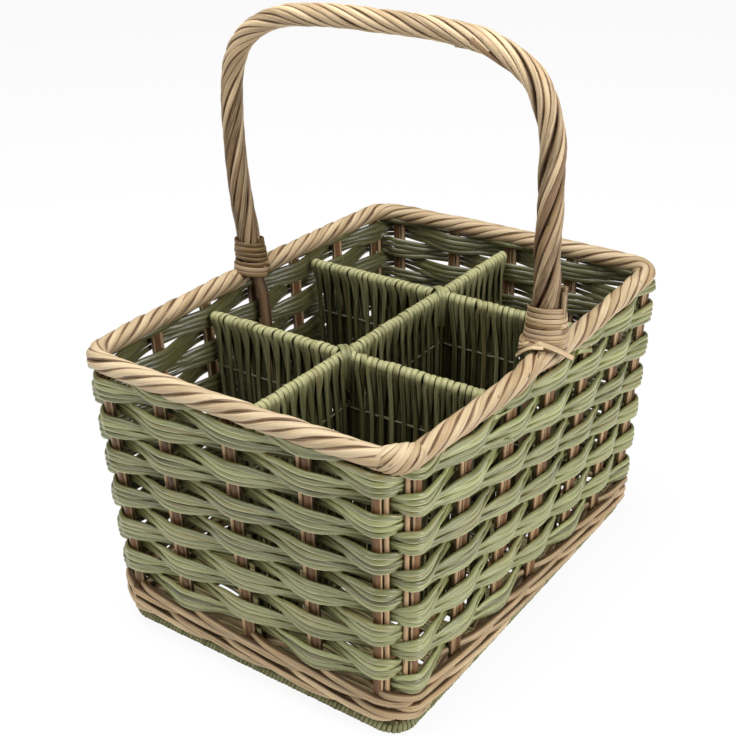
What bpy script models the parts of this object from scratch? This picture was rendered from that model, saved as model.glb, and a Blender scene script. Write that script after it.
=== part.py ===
"""Wicker bottle basket: a woven rectangular body with six compartments under a fixed bow handle.

Metres, +Z up, origin at the bottom centre. X runs across the width, which the handle spans,
and Y along the length. The short wall at -Y is the front.
"""

import math

import bmesh
import bpy
from mathutils import Vector

# Air left between neighbouring pieces.
CLEARANCE = 0.0003
# Extra air between a stake and the canes that bend round it.
WEAVE_EASE = 0.0010
# Over 1, a band keeps to one side of a stake for longer and crosses over more steeply.
WEAVE_FIRMNESS_RATIO = 1.45

# Stakes: a thick rod with a thin one beside it, at even spacing along each wall.
SHORT_WALL_STAKES = 5
LONG_WALL_STAKES = 7
SHORT_WALL_SPACING = 0.0523
LONG_WALL_SPACING = 0.0518
THICK_ROD = 0.0072
THIN_ROD = 0.0040
# How far the two rods of a pair are pressed into each other.
ROD_SQUEEZE = 0.0002
# The one stake whose thin rod stands on its far side, counted from the front's first stake.
TURNED_STAKE = 4

# Walls: how far the corners lie past the last stakes, the outward lean per metre of height,
# and how far the middle of a wall bulges at the rim.
CORNER_PAST_SHORT_WALL = 0.0152
CORNER_PAST_LONG_WALL = 0.0121
LEAN_RATIO = 0.034
SHORT_WALL_BULGE = 0.002
LONG_WALL_BULGE = 0.004

# Foot hoop, flat underneath and a little inside the plane of the stakes.
HOOP_ROD = 0.0075
HOOP_INSET = 0.0015
HOOP_CORNER = 0.016

# Woven base: bands of cane pass over and under the sticks, inside a flat ledge that lies on
# the hoop and carries the wale.
BASE_STICKS = SHORT_WALL_STAKES - 1
BASE_STICK = 0.0036
BASE_COVER = 0.0007
BASE_CANE = 0.0024
BASE_BAND = 0.0124
BASE_BETWEEN_STICKS = 0.0040
BASE_LEDGE = 0.0120

# Wale: two heavier rows at the foot of the wall.
WALE_ROWS = 2
WALE_HEIGHT = 0.0114
WALE_THICKNESS = 0.0047

# Rows of four green canes that pass over one stake and under the next.
ROWS = 12
ROW_HEIGHT = 0.0135
ROW_THICKNESS = 0.0040
# A band spreads by this much where it passes a stake.
ROW_SPREAD = 0.0026

# Rope border on top of the stakes.
BORDER_ROPE = 0.0145
BORDER_CORNER = 0.020

# Bow handle: the foot stands inside the border's centreline, the legs swell outwards
# and the top is a squared arch. Above its feet the whole bow stands over to the left.
HANDLE_CORE = 0.0090
HANDLE_SET_IN = 0.0075
HANDLE_SWELL = 0.0062
HANDLE_SWELL_RISE = 0.1100
HANDLE_OVER_TO_LEFT = 0.0070
HANDLE_ROPE_ABOVE_BORDER = 0.0015
HANDLE_TOP_RISE = 0.2018
HANDLE_SQUARENESS = 3.5
HANDLE_ROPE_AT_LEG = 0.0180
HANDLE_ROPE_AT_TOP = 0.0155
LEG_END_ABOVE_WALE = 0.0040

# Cane wound round the handle just above the border.
BINDING_CANE = 0.0032
BINDING_PITCH = 0.0038
LEFT_BINDING_TURNS = 6
RIGHT_BINDING_TURNS = 7
POINTS_PER_TURN = 24

# Dividers: strands wrapped over a rail, which stand out on the one side and the other in turn.
DIVIDER_PANEL = 0.0042
DIVIDER_RELIEF = 0.0011
DIVIDER_STRAND_PITCH = 0.0046
DIVIDER_RAIL = 0.0090
RAIL_UNDERSIDE = 0.0030
RAIL_STEPS = 5
DIVIDER_BELOW_WALL_TOP = 0.0010
FRONT_CROSSING_Y = -0.0545
BACK_CROSSING_Y = 0.0687

# Tie over each crossing of the dividers.
TIE_CANE = 0.0034
TIE_EASE = 0.0006
TIE_TAIL = 0.0060

# Steps of the meshes.
ROUND_SIDES = 10
ROD_SIDES = 8
WALL_STEPS = 3
CORNER_STEPS = 4
HANDLE_STEP = 0.021

# Sizes that follow from those above.
HALF_X = (SHORT_WALL_STAKES - 1) / 2 * SHORT_WALL_SPACING + CORNER_PAST_SHORT_WALL
HALF_Y = (LONG_WALL_STAKES - 1) / 2 * LONG_WALL_SPACING + CORNER_PAST_LONG_WALL
STAKE_COUNT = 2 * (SHORT_WALL_STAKES + LONG_WALL_STAKES)
STICK_BORE = BASE_STICK + 2 * CLEARANCE
BASE_BOTTOM = HOOP_ROD + CLEARANCE
STICK_Z = BASE_BOTTOM + BASE_COVER + STICK_BORE / 2
BASE_LEDGE_TOP = STICK_Z + STICK_BORE / 2 + BASE_COVER
BASE_CREST = STICK_BORE / 2 + BASE_CANE
BASE_EDGE = HOOP_ROD / 2 - HOOP_INSET
BASE_CORNER = HOOP_CORNER + BASE_EDGE
BASE_HALF_X = HALF_X + LEAN_RATIO * BASE_BOTTOM + BASE_EDGE
BASE_HALF_Y = HALF_Y + LEAN_RATIO * BASE_BOTTOM + BASE_EDGE
WALE_BOTTOM = BASE_LEDGE_TOP + CLEARANCE
WALE_PITCH = WALE_HEIGHT + CLEARANCE
WEAVE_BOTTOM = WALE_BOTTOM + WALE_ROWS * WALE_PITCH
ROW_PITCH = ROW_HEIGHT + CLEARANCE
WEAVE_TOP = WEAVE_BOTTOM + ROWS * ROW_PITCH
BORDER_Z = WEAVE_TOP + ROW_SPREAD / 2 + CLEARANCE + BORDER_ROPE / 2
STAKE_TOP = BORDER_Z - BORDER_ROPE / 2 - CLEARANCE
ROW_OFFSET = THICK_ROD / 2 + WEAVE_EASE + ROW_THICKNESS / 2
WALE_OFFSET = THICK_ROD / 2 + WEAVE_EASE + WALE_THICKNESS / 2
ROW_INNER_FACE = ROW_OFFSET + ROW_THICKNESS / 2
WALE_INNER_FACE = WALE_OFFSET + WALE_THICKNESS / 2
INSIDE = max(ROW_INNER_FACE, WALE_INNER_FACE) + CLEARANCE
DIVIDER_TOP = WEAVE_TOP - DIVIDER_BELOW_WALL_TOP
LONG_DIVIDER_BOTTOM = BASE_LEDGE_TOP + CLEARANCE
CROSS_DIVIDER_BOTTOM = STICK_Z + BASE_CREST + CLEARANCE

# The four walls, counter-clockwise from above: name, stakes, spacing, half length,
# distance from the centre, bulge, direction along the wall and direction out of it.
WALLS = (
    ("front", SHORT_WALL_STAKES, SHORT_WALL_SPACING, HALF_X, HALF_Y, SHORT_WALL_BULGE, (1, 0), (0, -1)),
    ("right", LONG_WALL_STAKES, LONG_WALL_SPACING, HALF_Y, HALF_X, LONG_WALL_BULGE, (0, 1), (1, 0)),
    ("back", SHORT_WALL_STAKES, SHORT_WALL_SPACING, HALF_X, HALF_Y, SHORT_WALL_BULGE, (-1, 0), (0, 1)),
    ("left", LONG_WALL_STAKES, LONG_WALL_SPACING, HALF_Y, HALF_X, LONG_WALL_BULGE, (0, -1), (-1, 0)),
)


def clear_scene():
    for obj in list(bpy.data.objects):
        bpy.data.objects.remove(obj, do_unlink=True)


def make_material(name, colour, roughness):
    """Principled material with a linear base colour."""
    material = bpy.data.materials.new(name)
    material.use_nodes = True
    shader = material.node_tree.nodes["Principled BSDF"]
    shader.inputs["Base Color"].default_value = (*colour, 1.0)
    shader.inputs["Roughness"].default_value = roughness
    shader.inputs["Metallic"].default_value = 0.0
    return material


# Shape of the walls

def stake_coordinate(wall, index, z):
    """Distance of a stake from the middle of its wall at height z. The spacing widens with the lean."""
    _, count, spacing, half, _, _, _, _ = wall
    spread = (half + LEAN_RATIO * z) / half
    return (index - (count - 1) / 2) * spacing * spread


def point_on_wall(wall, along, z, offset):
    """Point at a distance along a wall and an offset outwards from the plane of the stakes."""
    _, _, _, half, distance, bulge, direction, out = wall
    share = 1 - (along / (half + LEAN_RATIO * z)) ** 2
    outward = distance + LEAN_RATIO * z + bulge * (z / BORDER_Z) * share + offset
    return Vector((
        direction[0] * along + out[0] * outward,
        direction[1] * along + out[1] * outward,
        z,
    ))


def corner_of(wall, z):
    """Point where a wall's plane meets the next wall's plane."""
    _, _, _, half, distance, _, direction, out = wall
    along = half + LEAN_RATIO * z
    outward = distance + LEAN_RATIO * z
    return Vector((
        direction[0] * along + out[0] * outward,
        direction[1] * along + out[1] * outward,
        z,
    ))


def wall_point(station, z, offset):
    """Point at a station round the basket. Whole stations are stakes, and halves lie midway between."""
    station %= STAKE_COUNT
    first = 0
    for number, wall in enumerate(WALLS):
        count = wall[1]
        local = station - first
        if local <= count - 1:
            return point_on_wall(wall, stake_coordinate(wall, local, z), z, offset)
        if local < count:
            after = WALLS[(number + 1) % len(WALLS)]
            start = point_on_wall(wall, stake_coordinate(wall, count - 1, z), z, 0)
            end = point_on_wall(after, stake_coordinate(after, 0, z), z, 0)
            return corner_point(start, corner_of(wall, z), end, local - (count - 1), offset)
        first += count
    raise ValueError(station)


def corner_point(start, corner, end, share, offset):
    """Point on a smooth bend from one wall's last stake to the next wall's first."""
    rest = 1 - share
    point = start * rest * rest + corner * 2 * rest * share + end * share * share
    heading = (corner - start) * rest + (end - corner) * share
    out = Vector((heading.y, -heading.x, 0)).normalized()
    return point + out * offset


def is_corner_span(index):
    """True where the span after this stake turns a corner."""
    last = -1
    for wall in WALLS:
        last += wall[1]
        if index == last:
            return True
    return False


def stations(wall_steps, corner_steps):
    """Stations all the way round, with more of them at the corners."""
    found = []
    for index in range(STAKE_COUNT):
        steps = corner_steps if is_corner_span(index) else wall_steps
        found += [index + step / steps for step in range(steps)]
    return found


def rounded_ring(z, corner_radius, side_steps):
    """Points and outward directions round the basket at height z, with round corners."""
    found = []
    for wall in WALLS:
        _, count, _, half, distance, bulge, direction, out = wall
        direction = Vector((*direction, 0))
        out = Vector((*out, 0))
        straight = half + LEAN_RATIO * z - corner_radius
        outward = distance + LEAN_RATIO * z
        steps = side_steps * (count - 1) // 2
        for step in range(steps + 1):
            along = straight * (2 * step / steps - 1)
            swell = bulge * (z / BORDER_Z) * (1 - (along / straight) ** 2)
            found.append((direction * along + out * (outward + swell) + Vector((0, 0, z)), out))
        centre = direction * straight + out * (outward - corner_radius) + Vector((0, 0, z))
        for step in range(1, CORNER_STEPS):
            angle = math.pi / 2 * step / CORNER_STEPS
            heading = out * math.cos(angle) + direction * math.sin(angle)
            found.append((centre + heading * corner_radius, heading))
    return found


# Mesh helpers

def mesh_object(name, bm, material, smooth=True):
    """Object from a bmesh, with its faces turned outwards."""
    bmesh.ops.recalc_face_normals(bm, faces=bm.faces)
    if bm.calc_volume(signed=True) < 0:
        bmesh.ops.reverse_faces(bm, faces=bm.faces)
    mesh = bpy.data.meshes.new(name)
    bm.to_mesh(mesh)
    bm.free()
    if smooth:
        mesh.shade_smooth()
        mesh.set_sharp_from_angle(angle=math.radians(50))
    mesh.materials.append(material)
    obj = bpy.data.objects.new(name, mesh)
    bpy.context.scene.collection.objects.link(obj)
    return obj


def bridge(bm, first, second):
    """Faces between two loops of as many vertices."""
    count = len(first)
    for j in range(count):
        k = (j + 1) % count
        bm.faces.new((first[j], first[k], second[k], second[j]))


def loft(name, loops, material, closed=False, smooth=True):
    """Solid through loops of points, joined end to start or closed with flat ends."""
    bm = bmesh.new()
    rings = [[bm.verts.new(point) for point in loop] for loop in loops]
    for first, second in zip(rings, rings[1:]):
        bridge(bm, first, second)
    if closed:
        bridge(bm, rings[-1], rings[0])
    else:
        bm.faces.new(rings[0])
        bm.faces.new(rings[-1])
    return mesh_object(name, bm, material, smooth)


def circle(centre, first, second, radius, sides, turn=0.0):
    """Points round a centre in the plane of two unit vectors."""
    found = []
    for side in range(sides):
        angle = 2 * math.pi * side / sides + turn
        found.append(centre + first * (radius * math.cos(angle)) + second * (radius * math.sin(angle)))
    return found


def arch_circles(path, radii, sides):
    """Circles along a path in the XZ plane, square to it."""
    across = Vector((0, 1, 0))
    found = []
    for index, centre in enumerate(path):
        before = path[max(index - 1, 0)]
        after = path[min(index + 1, len(path) - 1)]
        heading = (after - before).normalized()
        found.append(circle(centre, across, heading.cross(across), radii[index], sides))
    return found


def cut(obj, cutter):
    """Takes the hidden cutter's shape out of the object."""
    cutter.hide_render = True
    cutter.display_type = "WIRE"
    modifier = obj.modifiers.new("cut", "BOOLEAN")
    modifier.operation = "DIFFERENCE"
    modifier.solver = "EXACT"
    modifier.object = cutter


def tube_curve(name, points, diameter, material):
    """Round tube along points, with its ends closed."""
    data = bpy.data.curves.new(name, "CURVE")
    data.dimensions = "3D"
    data.bevel_depth = diameter / 2
    data.bevel_resolution = 1
    data.use_fill_caps = True
    spline = data.splines.new("POLY")
    spline.points.add(len(points) - 1)
    for target, point in zip(spline.points, points):
        target.co = (*point, 1)
    data.materials.append(material)
    obj = bpy.data.objects.new(name, data)
    bpy.context.scene.collection.objects.link(obj)
    return obj


# Pieces

def stake_outline():
    """Outline of two touching rods: (along the wall, out of it), the thin rod behind the thick one."""
    thick = THICK_ROD / 2
    thin = THIN_ROD / 2
    apart = thick + thin - ROD_SQUEEZE
    meet = (apart ** 2 + thick ** 2 - thin ** 2) / (2 * apart)
    thick_angle = math.acos(meet / thick)
    thin_angle = math.acos((apart - meet) / thin)
    points = []
    for step in range(ROD_SIDES):
        angle = math.pi - (math.pi - thick_angle) * (1 - 2 * step / (ROD_SIDES - 1))
        points.append((thick * math.cos(angle), thick * math.sin(angle)))
    thin_steps = ROD_SIDES // 2 + 1
    for step in range(1, thin_steps):
        angle = (math.pi - thin_angle) * (2 * step / thin_steps - 1)
        points.append((apart + thin * math.cos(angle), thin * math.sin(angle)))
    return [(-along, out) for along, out in points]


def make_stakes(material):
    """One pair of rods at each station, leaning out with the wall. The thin rod follows the wall's bend."""
    outline = stake_outline()
    apart = (THICK_ROD + THIN_ROD) / 2 - ROD_SQUEEZE
    station = 0
    for name, count, *_ in WALLS:
        for number in range(count):
            loops = []
            side = -1 if station == TURNED_STAKE else 1
            for z in (WALE_BOTTOM, STAKE_TOP):
                centre = wall_point(station, z, 0)
                span = (centre - wall_point(station - side, z, 0)).length
                direction = (centre - wall_point(station - side * apart / span, z, 0)).normalized()
                out = Vector((direction.y, -direction.x, 0))
                loops.append([centre + direction * along + out * outward for along, outward in outline])
            loft(f"{name}_stake_{number + 1}", loops, material)
            station += 1


def woven_ring(name, z_low, height, spread, thickness, offset, parity, material):
    """Closed band that passes outside the stakes of one parity and inside the others."""
    middle = z_low + height / 2
    loops = []
    for station in stations(WALL_STEPS, CORNER_STEPS):
        side = WEAVE_FIRMNESS_RATIO * math.cos(math.pi * (station - parity))
        side = max(-1, min(1, side))
        at_stake = abs(station - round(station)) < 0.01
        half = (height + (spread if at_stake else 0)) / 2
        inner = offset * side - thickness / 2
        outer = offset * side + thickness / 2
        loops.append([
            wall_point(station, middle - half, inner),
            wall_point(station, middle - half, outer),
            wall_point(station, middle + half, outer),
            wall_point(station, middle + half, inner),
        ])
    return loft(name, loops, material, closed=True)


def make_weave(buff, green):
    """The wale rows and, above them, the green rows, each row opposite to the one below."""
    for number in range(WALE_ROWS):
        name = f"wale_row_{number + 1}"
        z_low = WALE_BOTTOM + number * WALE_PITCH
        parity = number + 1 - WALE_ROWS
        woven_ring(name, z_low, WALE_HEIGHT, 0, WALE_THICKNESS, WALE_OFFSET, parity, buff)
    for number in range(ROWS):
        name = f"weave_row_{number + 1:02d}"
        z_low = WEAVE_BOTTOM + number * ROW_PITCH
        woven_ring(name, z_low, ROW_HEIGHT, ROW_SPREAD, ROW_THICKNESS, ROW_OFFSET, number + 1, green)


def make_foot_hoop(material):
    """Ring with eight sides, one of them flat on the ground."""
    up = Vector((0, 0, 1))
    radius = HOOP_ROD / 2 / math.cos(math.pi / ROD_SIDES)
    loops = []
    for point, out in rounded_ring(HOOP_ROD / 2, HOOP_CORNER, 1):
        centre = point - out * HOOP_INSET
        loops.append(circle(centre, out, up, radius, ROD_SIDES, math.pi / ROD_SIDES))
    return loft("foot_hoop", loops, material, closed=True)


def base_half_width(y):
    """Half the base's width at a place along it, less where its corners are round."""
    past = max(0, abs(y) - (BASE_HALF_Y - BASE_CORNER))
    return BASE_HALF_X - BASE_CORNER + math.sqrt(max(0, BASE_CORNER ** 2 - past ** 2))


def stick_x(number):
    return (number - (BASE_STICKS - 1) / 2) * SHORT_WALL_SPACING


def base_section(y, band):
    """Places across the base with the heights of its top and bottom there: (x, top, bottom).
    band counts the woven bands and is None on the ledge at the ends."""
    ledge = (BASE_LEDGE_TOP, BASE_BOTTOM)
    over = (STICK_Z + BASE_CREST, BASE_BOTTOM)
    under = (BASE_LEDGE_TOP, STICK_Z - BASE_CREST)
    between = (STICK_Z + BASE_BETWEEN_STICKS / 2, STICK_Z - BASE_BETWEEN_STICKS / 2)
    wide = base_half_width(y)
    places = [(-wide, *ledge), (BASE_LEDGE - wide, *ledge)]
    for number in range(BASE_STICKS):
        if number > 0:
            places.append((stick_x(number - 0.5), *(ledge if band is None else between)))
        if band is None:
            heights = ledge
        elif (number + band) % 2:
            heights = over
        else:
            heights = under
        places.append((stick_x(number), *heights))
    return places + [(wide - BASE_LEDGE, *ledge), (wide, *ledge)]


def base_rows():
    """Places along the base, each with its band: the rounded ends, the ledge and the bands."""
    inner = BASE_HALF_Y - BASE_LEDGE
    rounded = BASE_HALF_Y - BASE_CORNER * (1 - math.sin(math.pi / 3))
    bands = round(2 * inner / BASE_BAND)
    rows = [(-BASE_HALF_Y, None), (-rounded, None), (-inner, None)]
    for band in range(bands):
        rows.append((inner * ((2 * band + 1) / bands - 1), band))
    return rows + [(inner, None), (rounded, None), (BASE_HALF_Y, None)]


def make_base_panel(material):
    """Woven panel as one sheet with relief on its top and its bottom."""
    bm = bmesh.new()
    tops = []
    bottoms = []
    for y, band in base_rows():
        section = base_section(y, band)
        tops.append([bm.verts.new((x, y, top)) for x, top, _ in section])
        bottoms.append([bm.verts.new((x, y, bottom)) for x, _, bottom in section])
    for sheet in (tops, bottoms):
        for row, after in zip(sheet, sheet[1:]):
            for k in range(len(row) - 1):
                bm.faces.new((row[k], row[k + 1], after[k + 1], after[k]))
    right = ([row[-1] for row in tops], [row[-1] for row in bottoms])
    left = ([row[0] for row in tops], [row[0] for row in bottoms])
    for top, bottom in (right, left, (tops[0], bottoms[0]), (tops[-1], bottoms[-1])):
        for k in range(len(top) - 1):
            bm.faces.new((top[k], top[k + 1], bottom[k + 1], bottom[k]))
    return mesh_object("base_weave", bm, material, smooth=False)


def make_base(weave_material, stick_material):
    """Woven panel, and the sticks that run lengthwise through it."""
    panel = make_base_panel(weave_material)
    sideways = Vector((1, 0, 0))
    up = Vector((0, 0, 1))
    for number in range(BASE_STICKS):
        x = stick_x(number)
        ends = [Vector((x, -BASE_HALF_Y, STICK_Z)), Vector((x, BASE_HALF_Y, STICK_Z))]
        loops = [circle(end, sideways, up, BASE_STICK / 2, ROD_SIDES) for end in ends]
        loft(f"base_stick_{number + 1}", loops, stick_material)
        past = Vector((0, BASE_STICK, 0))
        ends = [ends[0] - past, ends[1] + past]
        loops = [circle(end, sideways, up, STICK_BORE / 2, ROD_SIDES) for end in ends]
        cut(panel, loft(f"base_stick_cutter_{number + 1}", loops, stick_material))


def make_border(material, cutter):
    """Rope ring on top of the stakes, grooved where the handle's core passes inside it."""
    up = Vector((0, 0, 1))
    loops = []
    for centre, out in rounded_ring(BORDER_Z, BORDER_CORNER, 2):
        loops.append(circle(centre, out, up, BORDER_ROPE / 2, ROUND_SIDES))
    border = loft("rim_border", loops, material, closed=True)
    cut(border, cutter)


def handle_foot_x():
    """Where the right leg's axis passes the border."""
    return HALF_X + LEAN_RATIO * BORDER_Z + LONG_WALL_BULGE - HANDLE_SET_IN


def inner_leg_x(z):
    """Axis of the right leg where it lies against the inside of the wall."""
    inside = ROW_INNER_FACE + CLEARANCE + HANDLE_CORE / 2
    return HALF_X + LEAN_RATIO * z + LONG_WALL_BULGE * z / BORDER_Z - inside


def leg_x(side, z):
    """Axis of a leg between the border and where it is widest. side is -1 for the left leg."""
    share = math.sin(math.pi / 2 * (z - BORDER_Z) / HANDLE_SWELL_RISE)
    return side * (handle_foot_x() + HANDLE_SWELL * share) - HANDLE_OVER_TO_LEFT * share


def even_points(points, step):
    """Points at even steps along a run of points, both ends kept."""
    lengths = [0.0]
    for first, second in zip(points, points[1:]):
        lengths.append(lengths[-1] + (second - first).length)
    count = max(2, round(lengths[-1] / step))
    found = []
    index = 0
    for number in range(count + 1):
        target = lengths[-1] * number / count
        while index < len(points) - 2 and lengths[index + 1] < target:
            index += 1
        share = (target - lengths[index]) / (lengths[index + 1] - lengths[index])
        found.append(points[index].lerp(points[index + 1], min(share, 1.0)))
    return found


def arch_points():
    """The handle's axis above the border, from the left foot over the top to the right foot."""
    half = handle_foot_x() + HANDLE_SWELL
    widest_z = BORDER_Z + HANDLE_SWELL_RISE
    rise = HANDLE_TOP_RISE - HANDLE_SWELL_RISE
    fine = 200
    top = []
    for number in range(fine + 1):
        angle = math.pi * number / fine
        power = 2 / HANDLE_SQUARENESS
        x = -math.copysign(abs(math.cos(angle)) ** power, math.cos(angle)) * half
        x -= HANDLE_OVER_TO_LEFT
        top.append(Vector((x, 0, widest_z + rise * math.sin(angle) ** power)))
    leg_steps = 4
    start = rope_start_z()
    heights = [start + (widest_z - start) * number / leg_steps for number in range(leg_steps)]
    left_leg = [Vector((leg_x(-1, z), 0, z)) for z in heights]
    right_leg = [Vector((leg_x(1, z), 0, z)) for z in reversed(heights)]
    return left_leg + even_points(top, HANDLE_STEP) + right_leg


def rope_start_z():
    """Height where the twisted rods of the handle begin, just clear of the border."""
    return BORDER_Z + BORDER_ROPE / 2 + HANDLE_ROPE_ABOVE_BORDER


def inner_leg_points():
    """The right leg's axis from the border down the inside of the wall."""
    turn_z = BORDER_Z - BORDER_ROPE
    end_z = WEAVE_BOTTOM + LEG_END_ABOVE_WALE
    return [
        Vector((handle_foot_x(), 0, BORDER_Z)),
        Vector((inner_leg_x(turn_z), 0, turn_z)),
        Vector((inner_leg_x(end_z), 0, end_z)),
    ]


def core_path():
    """The whole bow, down to both ends inside the walls."""
    right = inner_leg_points()
    left = [Vector((-point.x, 0, point.z)) for point in reversed(right)]
    return left + arch_points() + right


def rope_radius(point):
    """Radius of the twisted rods, thinner over the top."""
    low = rope_start_z()
    share = (point.z - low) / (BORDER_Z + HANDLE_TOP_RISE - low)
    return (HANDLE_ROPE_AT_LEG + (HANDLE_ROPE_AT_TOP - HANDLE_ROPE_AT_LEG) * share) / 2


def make_handle_core(material):
    """The bow itself, and the wider cutter that clears its way past the border."""
    path = core_path()
    loft("handle_core", arch_circles(path, [HANDLE_CORE / 2] * len(path), ROD_SIDES), material)
    wide = HANDLE_CORE / 2 + CLEARANCE / math.cos(math.pi / ROD_SIDES)
    return loft("handle_core_cutter", arch_circles(path, [wide] * len(path), ROD_SIDES), material)


def make_handle_rope(material):
    """Sleeve of twisted rods round the bow, open at both feet."""
    path = arch_points()
    bore = HANDLE_CORE / 2 + CLEARANCE / math.cos(math.pi / ROD_SIDES)
    outer = arch_circles(path, [rope_radius(point) for point in path], ROUND_SIDES)
    inner = arch_circles(path, [bore] * len(path), ROUND_SIDES)
    loops = outer + inner[::-1]
    return loft("handle_rope", loops, material, closed=True)


def binding_points(side, turns):
    """Turns of cane round one leg, climbing at a steady pitch. side is -1 for the left leg."""
    low = rope_start_z() + BINDING_CANE / 2 + CLEARANCE
    points = []
    for number in range(turns * POINTS_PER_TURN + 1):
        share = number / POINTS_PER_TURN
        angle = 2 * math.pi * share * side
        z = low + BINDING_PITCH * share
        radius = HANDLE_ROPE_AT_LEG / 2 + CLEARANCE + BINDING_CANE / 2
        x = leg_x(side, z) + radius * math.cos(angle)
        points.append(Vector((x, radius * math.sin(angle), z)))
    return points


def least_gap(points, diameter):
    """Least gap between parts of a tube that lie half a turn or more apart along it."""
    apart = POINTS_PER_TURN // 2
    least = math.inf
    for first in range(len(points)):
        for second in range(first + apart, len(points)):
            least = min(least, (points[first] - points[second]).length)
    return least - diameter


def make_binding(name, side, turns, material):
    points = binding_points(side, turns)
    print(f"{name}: least gap between turns {least_gap(points, BINDING_CANE) * 1000:.2f} mm")
    return tube_curve(name, points, BINDING_CANE, material)


def rail_outline():
    """Outline of a divider's rail: (sideways, z), from its flat underside round over the top."""
    radius = DIVIDER_RAIL / 2
    centre = DIVIDER_TOP - radius
    joint = math.asin(RAIL_UNDERSIDE / radius)
    points = []
    for step in range(RAIL_STEPS + 1):
        angle = (math.pi + 2 * joint) * step / RAIL_STEPS - joint
        points.append((radius * math.cos(angle), centre + radius * math.sin(angle)))
    return points


def divider_folds(length):
    """Where the strands stand out: (share of the length, side), with both ends in the middle."""
    strands = int(length / DIVIDER_STRAND_PITCH)
    folds = [((strand + 0.5) / strands, (-1) ** strand) for strand in range(strands)]
    return [(0, 0), *folds, (1, 0)]


def make_divider(name, start, end, bottom_z, material):
    """Folded panel of strands under a rail. start and end give the point at each end of the
    divider for a distance sideways and a height."""
    outline = rail_outline()
    under_z = outline[0][1]
    folds = divider_folds((end(0, DIVIDER_TOP) - start(0, DIVIDER_TOP)).length)
    bm = bmesh.new()

    def panel_line(face, z):
        line = []
        for share, side in folds:
            sideways = face * DIVIDER_PANEL / 2 + side * DIVIDER_RELIEF
            line.append(bm.verts.new(start(sideways, z).lerp(end(sideways, z), share)))
        return line

    first = [bm.verts.new(start(sideways, z)) for sideways, z in outline]
    last = [bm.verts.new(end(sideways, z)) for sideways, z in outline]
    for k in range(RAIL_STEPS):
        bm.faces.new((first[k], first[k + 1], last[k + 1], last[k]))
    right_top = panel_line(1, under_z)
    left_top = panel_line(-1, under_z)
    right_low = panel_line(1, bottom_z)
    left_low = panel_line(-1, bottom_z)
    for top, low in ((right_top, right_low), (left_top, left_low)):
        for k in range(len(folds) - 1):
            bm.faces.new((top[k], top[k + 1], low[k + 1], low[k]))
    bm.faces.new((first[0], last[0], *reversed(right_top)))
    bm.faces.new((first[-1], last[-1], *reversed(left_top)))
    bm.faces.new((*right_low, *reversed(left_low)))
    for rail_end, k in ((first, 0), (last, -1)):
        bm.faces.new((*rail_end, left_top[k], left_low[k], right_low[k], right_top[k]))
    return mesh_object(name, bm, material, smooth=False)


def make_long_divider(material):
    """Divider from the front wall to the back wall."""
    def start(sideways, z):
        return point_on_wall(WALLS[0], sideways, z, -INSIDE)

    def end(sideways, z):
        return point_on_wall(WALLS[2], -sideways, z, -INSIDE)

    return make_divider("long_divider", start, end, LONG_DIVIDER_BOTTOM, material)


def make_cross_divider(name, side, y, material):
    """Half of a cross divider, from the long divider to the left or right wall."""
    def start(sideways, z):
        return Vector((side * (DIVIDER_RAIL / 2 + CLEARANCE), y + sideways, z))

    def end(sideways, z):
        wall = WALLS[1] if side > 0 else WALLS[3]
        return point_on_wall(wall, side * (y + sideways), z, -INSIDE)

    return make_divider(name, start, end, CROSS_DIVIDER_BOTTOM, material)


def make_crossing_tie(name, y, material):
    """Cane bent over the crossing of two dividers, from the back left quarter to the front
    right one."""
    rail = DIVIDER_RAIL / 2
    room = TIE_CANE / 2 + CLEARANCE + TIE_EASE
    wide = rail * math.sqrt(2) + room
    high = rail + room
    centre = Vector((0, y, DIVIDER_TOP - rail))
    heading = Vector((1, -1, 0)).normalized()
    points = [centre - heading * wide - Vector((0, 0, TIE_TAIL))]
    steps = 8
    for step in range(steps + 1):
        angle = math.pi * (1 - step / steps)
        points.append(centre + heading * (wide * math.cos(angle)) + Vector((0, 0, high * math.sin(angle))))
    points.append(centre + heading * wide - Vector((0, 0, TIE_TAIL)))
    return tube_curve(name, points, TIE_CANE, material)


def make_dividers(material):
    make_long_divider(material)
    for place, y in (("front", FRONT_CROSSING_Y), ("back", BACK_CROSSING_Y)):
        make_cross_divider(f"cross_divider_{place}_left", -1, y, material)
        make_cross_divider(f"cross_divider_{place}_right", 1, y, material)
        make_crossing_tie(f"crossing_tie_{place}", y, material)


def main():
    clear_scene()
    buff = make_material("buff_willow", (0.62, 0.45, 0.28), 0.55)
    brown = make_material("brown_stake", (0.31, 0.16, 0.09), 0.60)
    green = make_material("green_cane", (0.25, 0.27, 0.12), 0.60)
    dark_green = make_material("dark_green_cane", (0.15, 0.17, 0.07), 0.65)
    hoop = make_material("wrapped_foot", (0.14, 0.17, 0.07), 0.65)
    handle = make_material("handle_willow", (0.47, 0.31, 0.17), 0.55)
    core = make_material("handle_bow", (0.36, 0.22, 0.12), 0.60)
    binding = make_material("binding_cane", (0.42, 0.27, 0.15), 0.50)
    base = make_material("base_willow", (0.30, 0.24, 0.13), 0.70)
    make_foot_hoop(hoop)
    make_base(base, brown)
    make_stakes(brown)
    make_weave(buff, green)
    cutter = make_handle_core(core)
    make_border(buff, cutter)
    make_handle_rope(handle)
    make_binding("handle_binding_left", -1, LEFT_BINDING_TURNS, binding)
    make_binding("handle_binding_right", 1, RIGHT_BINDING_TURNS, binding)
    make_dividers(dark_green)


main()
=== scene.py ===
"""Looks of a wicker bottle basket: every cane, rod and wrapped strand as its own swept form.

Metres, +Z up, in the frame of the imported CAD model. The sizes of the walls, the bow and the
dividers repeat those of the CAD model's source, because the strands follow its solids.
"""

import math

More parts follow.
